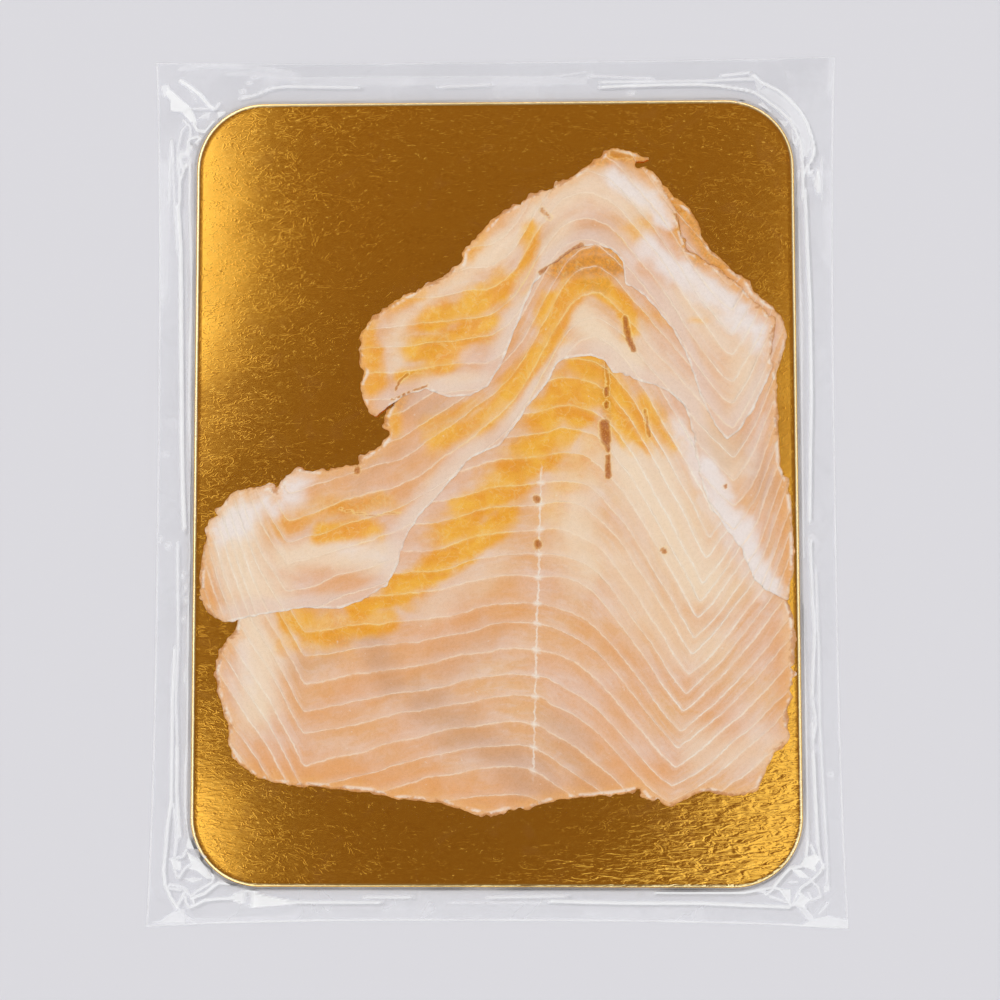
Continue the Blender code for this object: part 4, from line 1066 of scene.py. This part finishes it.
def makePouch():
    halfX, halfY = 0.5 * (pouchHigh.x - pouchLow.x), 0.5 * (pouchHigh.y - pouchLow.y)
    linesX, linesY = gridLines(halfX), gridLines(halfY)
    bm = bmesh.new()
    bmesh.ops.create_grid(bm, x_segments=len(linesX) - 1, y_segments=len(linesY) - 1, size=1.0)
    spots = np.array([vert.co[:2] for vert in bm.verts])
    column = np.round((spots[:, 0] + 1) / 2 * (len(linesX) - 1)).astype(int)
    row = np.round((spots[:, 1] + 1) / 2 * (len(linesY) - 1)).astype(int)
    u, v = linesX[column] / halfX, linesY[row] / halfY
    x = u * (halfX - sideBow(v))
    y = v * (halfY - endBow(u, v))
    creaseAndHighlight, facet, sheen, _ = creaseMasks(x, y)
    z = filmHeight(x, y, creaseAndHighlight, facet, sheen)
    near = cardDistance(x, y) < 2.0
    nearX, nearY = x[near], y[near] - contentShift
    depths = [nearestOn(piece["outline"], nearX, nearY)[0] for piece in slices]
    outers = [outerFar(piece, nearX, nearY) for piece in slices]
    fish = np.full(len(x), -1.0)
    for (_, top), depth in zip(layerTops(depths, outers), depths):
        fish[near] = np.where(depth > -0.3, np.maximum(fish[near], top + lay["crown"]), fish[near])
    grid = np.zeros((len(linesY), len(linesX)))
    grid[row, column] = np.maximum(z, fish + film["cling"])
    on = np.zeros_like(grid)
    on[row, column] = fish > 0
    for _ in range(3):
        on = neighbours(on)[0]
    eased = grid
    for _ in range(3):
        eased = np.where(on > 0, np.maximum(neighbours(eased)[1], grid), grid)
    for vert, place in zip(bm.verts, zip(x, y, eased[row, column])):
        vert.co = place
    rim = [e for e in bm.edges if e.is_boundary]
    made = bmesh.ops.extrude_edge_only(bm, edges=rim)["geom"]
    for vert in [g for g in made if isinstance(g, bmesh.types.BMVert)]:
        vert.co.z = 0.0
    bmesh.ops.contextual_create(bm, geom=[g for g in made if isinstance(g, bmesh.types.BMEdge)])
    bmesh.ops.scale(bm, vec=(mm, mm, mm), verts=bm.verts)
    bmesh.ops.recalc_face_normals(bm, faces=bm.faces)
    piece = finish(bm, "filmPouch", filmMaterial())
    for face in piece.data.polygons:
        face.use_smooth = len(face.vertices) == 4
    spots = np.array([vert.co[:2] for vert in piece.data.vertices]) / mm
    # masks of the painted highlights and the painted shade
    creaseAndHighlight, facet, sheen, gap = creaseMasks(spots[:, 0], spots[:, 1])
    store(piece, "margin", smoothStep(cardDistance(spots[:, 0], spots[:, 1]), -0.4, 0.6))
    store(piece, "creaseAndHighlight", np.maximum(np.maximum(creaseAndHighlight, facet), 0.5 * sheen))
    store(piece, "gap", gap)
    piece.visible_shadow = False
    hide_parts("pouch")
    print("film", len(piece.data.polygons), "faces")


# floor, light and camera

studio = {
    "floor": tone(222, 222, 228), "tent": 0.79, "hood": 0.235, "hoodTint": (1.0, 0.62, 0.22, 1),
    "sideGlow": 0.45, "leftGlow": 0.6,
    # the dark opening overhead, as slopes from straight up: where it fades in and out
    "hoodX": (-0.24, -0.198, 0.14, 0.21), "hoodY": (-0.42, -0.28, 0.38, 0.55), "lean": 0.2,
    "wing": (-0.17, -0.09, 0.04, 0.2), "wingReach": 0.075, "beside": (0.16, 0.22, 0.35, 0.5),
    # name: place, size, power
    "strips": {
        "leftStrip": ((-0.5, 0.1, 0.85), (1.2, 0.02), 0.3),
        "rightStrip": ((0.55, -0.1, 0.85), (1.2, 0.02), 0.3),
        "backStrip": ((0.1, 0.75, 0.85), (1.2, 0.02), 0.4),
        "frontStrip": ((-0.1, -0.7, 0.85), (1.2, 0.02), 0.3)}}


def makeTent():
    # a bright tent all round with a dark, warm opening overhead for the camera
    look = Look(bpy.data.worlds.new("tent"))
    x, y, z = look.split(look.add("ShaderNodeTexCoord", out="Generated"))
    slopeX, slopeY = x / z, y / z
    left, leftEnd, right, rightEnd = studio["hoodX"]
    overhead = look.step(z, 0.3, 0.5)
    wing = look.band(slopeY, *studio["wing"]) * studio["wingReach"]      # wider to the left
    hood = overhead * look.step(slopeX + wing, left, leftEnd)
    hood = hood * look.fade(slopeX - slopeY * studio["lean"], right, rightEnd)
    hood = hood * look.band(slopeY, *studio["hoodY"])
    beside = look.band(abs(slopeX + 0.025), *studio["beside"]) * overhead
    lift = look.step(slopeX * -1.0, 0.0, 0.15) * studio["leftGlow"] + studio["sideGlow"]
    bright = (beside * lift + 1) * studio["tent"]
    glow = bright * (1 - hood) + hood * (slopeY * 0.36 + 1) * studio["hood"]
    colour = look.blend(hood, (1, 1, 1, 1), studio["hoodTint"])
    shader = look.add("ShaderNodeBackground", None, {"Color": colour, "Strength": glow})
    look.add("ShaderNodeOutputWorld", None, {"Surface": shader})
    bpy.context.scene.world = look.home


def makeStudio():
    bm = bmesh.new()
    bmesh.ops.create_grid(bm, x_segments=2, y_segments=2, size=2.0)
    bmesh.ops.translate(bm, vec=(0, 0, -0.3 * mm), verts=bm.verts)      # just under the pack
    look = Look("paleFloor")
    grain = look.noise((0.02, 0.02, 0.02), 2.0)
    material = look.close({"Base Color": studio["floor"], "Roughness": grain * 0.1 + 0.75,
                           "Specular IOR Level": 0.1})
    floor = finish(bm, "floor", material, body=None)
    makeTent()
    for name, (place, size, power) in studio["strips"].items():
        data = bpy.data.lights.new(name, "AREA")
        data.shape = "RECTANGLE"
        data.size, data.size_y = size
        data.energy = power
        lamp = bpy.data.objects.new(name, data)
        lamp.location = place
        lamp.rotation_euler = Vector(place).to_track_quat("Z", "Y").to_euler()
        lamp.visible_camera = False
        bpy.context.scene.collection.objects.link(lamp)


view = {"lens": 50.0, "sensor": 36.0, "place": (0.0094, -0.0258, 0.4055), "turn": (3.177, 1.123, -0.121)}


def makeCamera():
    data = bpy.data.cameras.new("camera")
    data.lens, data.sensor_width = view["lens"], view["sensor"]
    camera = bpy.data.objects.new("camera", data)
    x, y, z = view["place"]
    camera.location = (x, y + contentShift * mm, z)
    camera.rotation_euler = [math.radians(angle) for angle in view["turn"]]
    bpy.context.scene.collection.objects.link(camera)
    bpy.context.scene.camera = camera
    bpy.context.scene.view_settings.view_transform = "Standard"


makeStudio()
makeCamera()
print("studio ready")
makeCard()
for piece in slices:
    piece["outline"] = sliceOutline(piece)
for index in range(len(slices)):
    makeSlice(index)
makePouch()
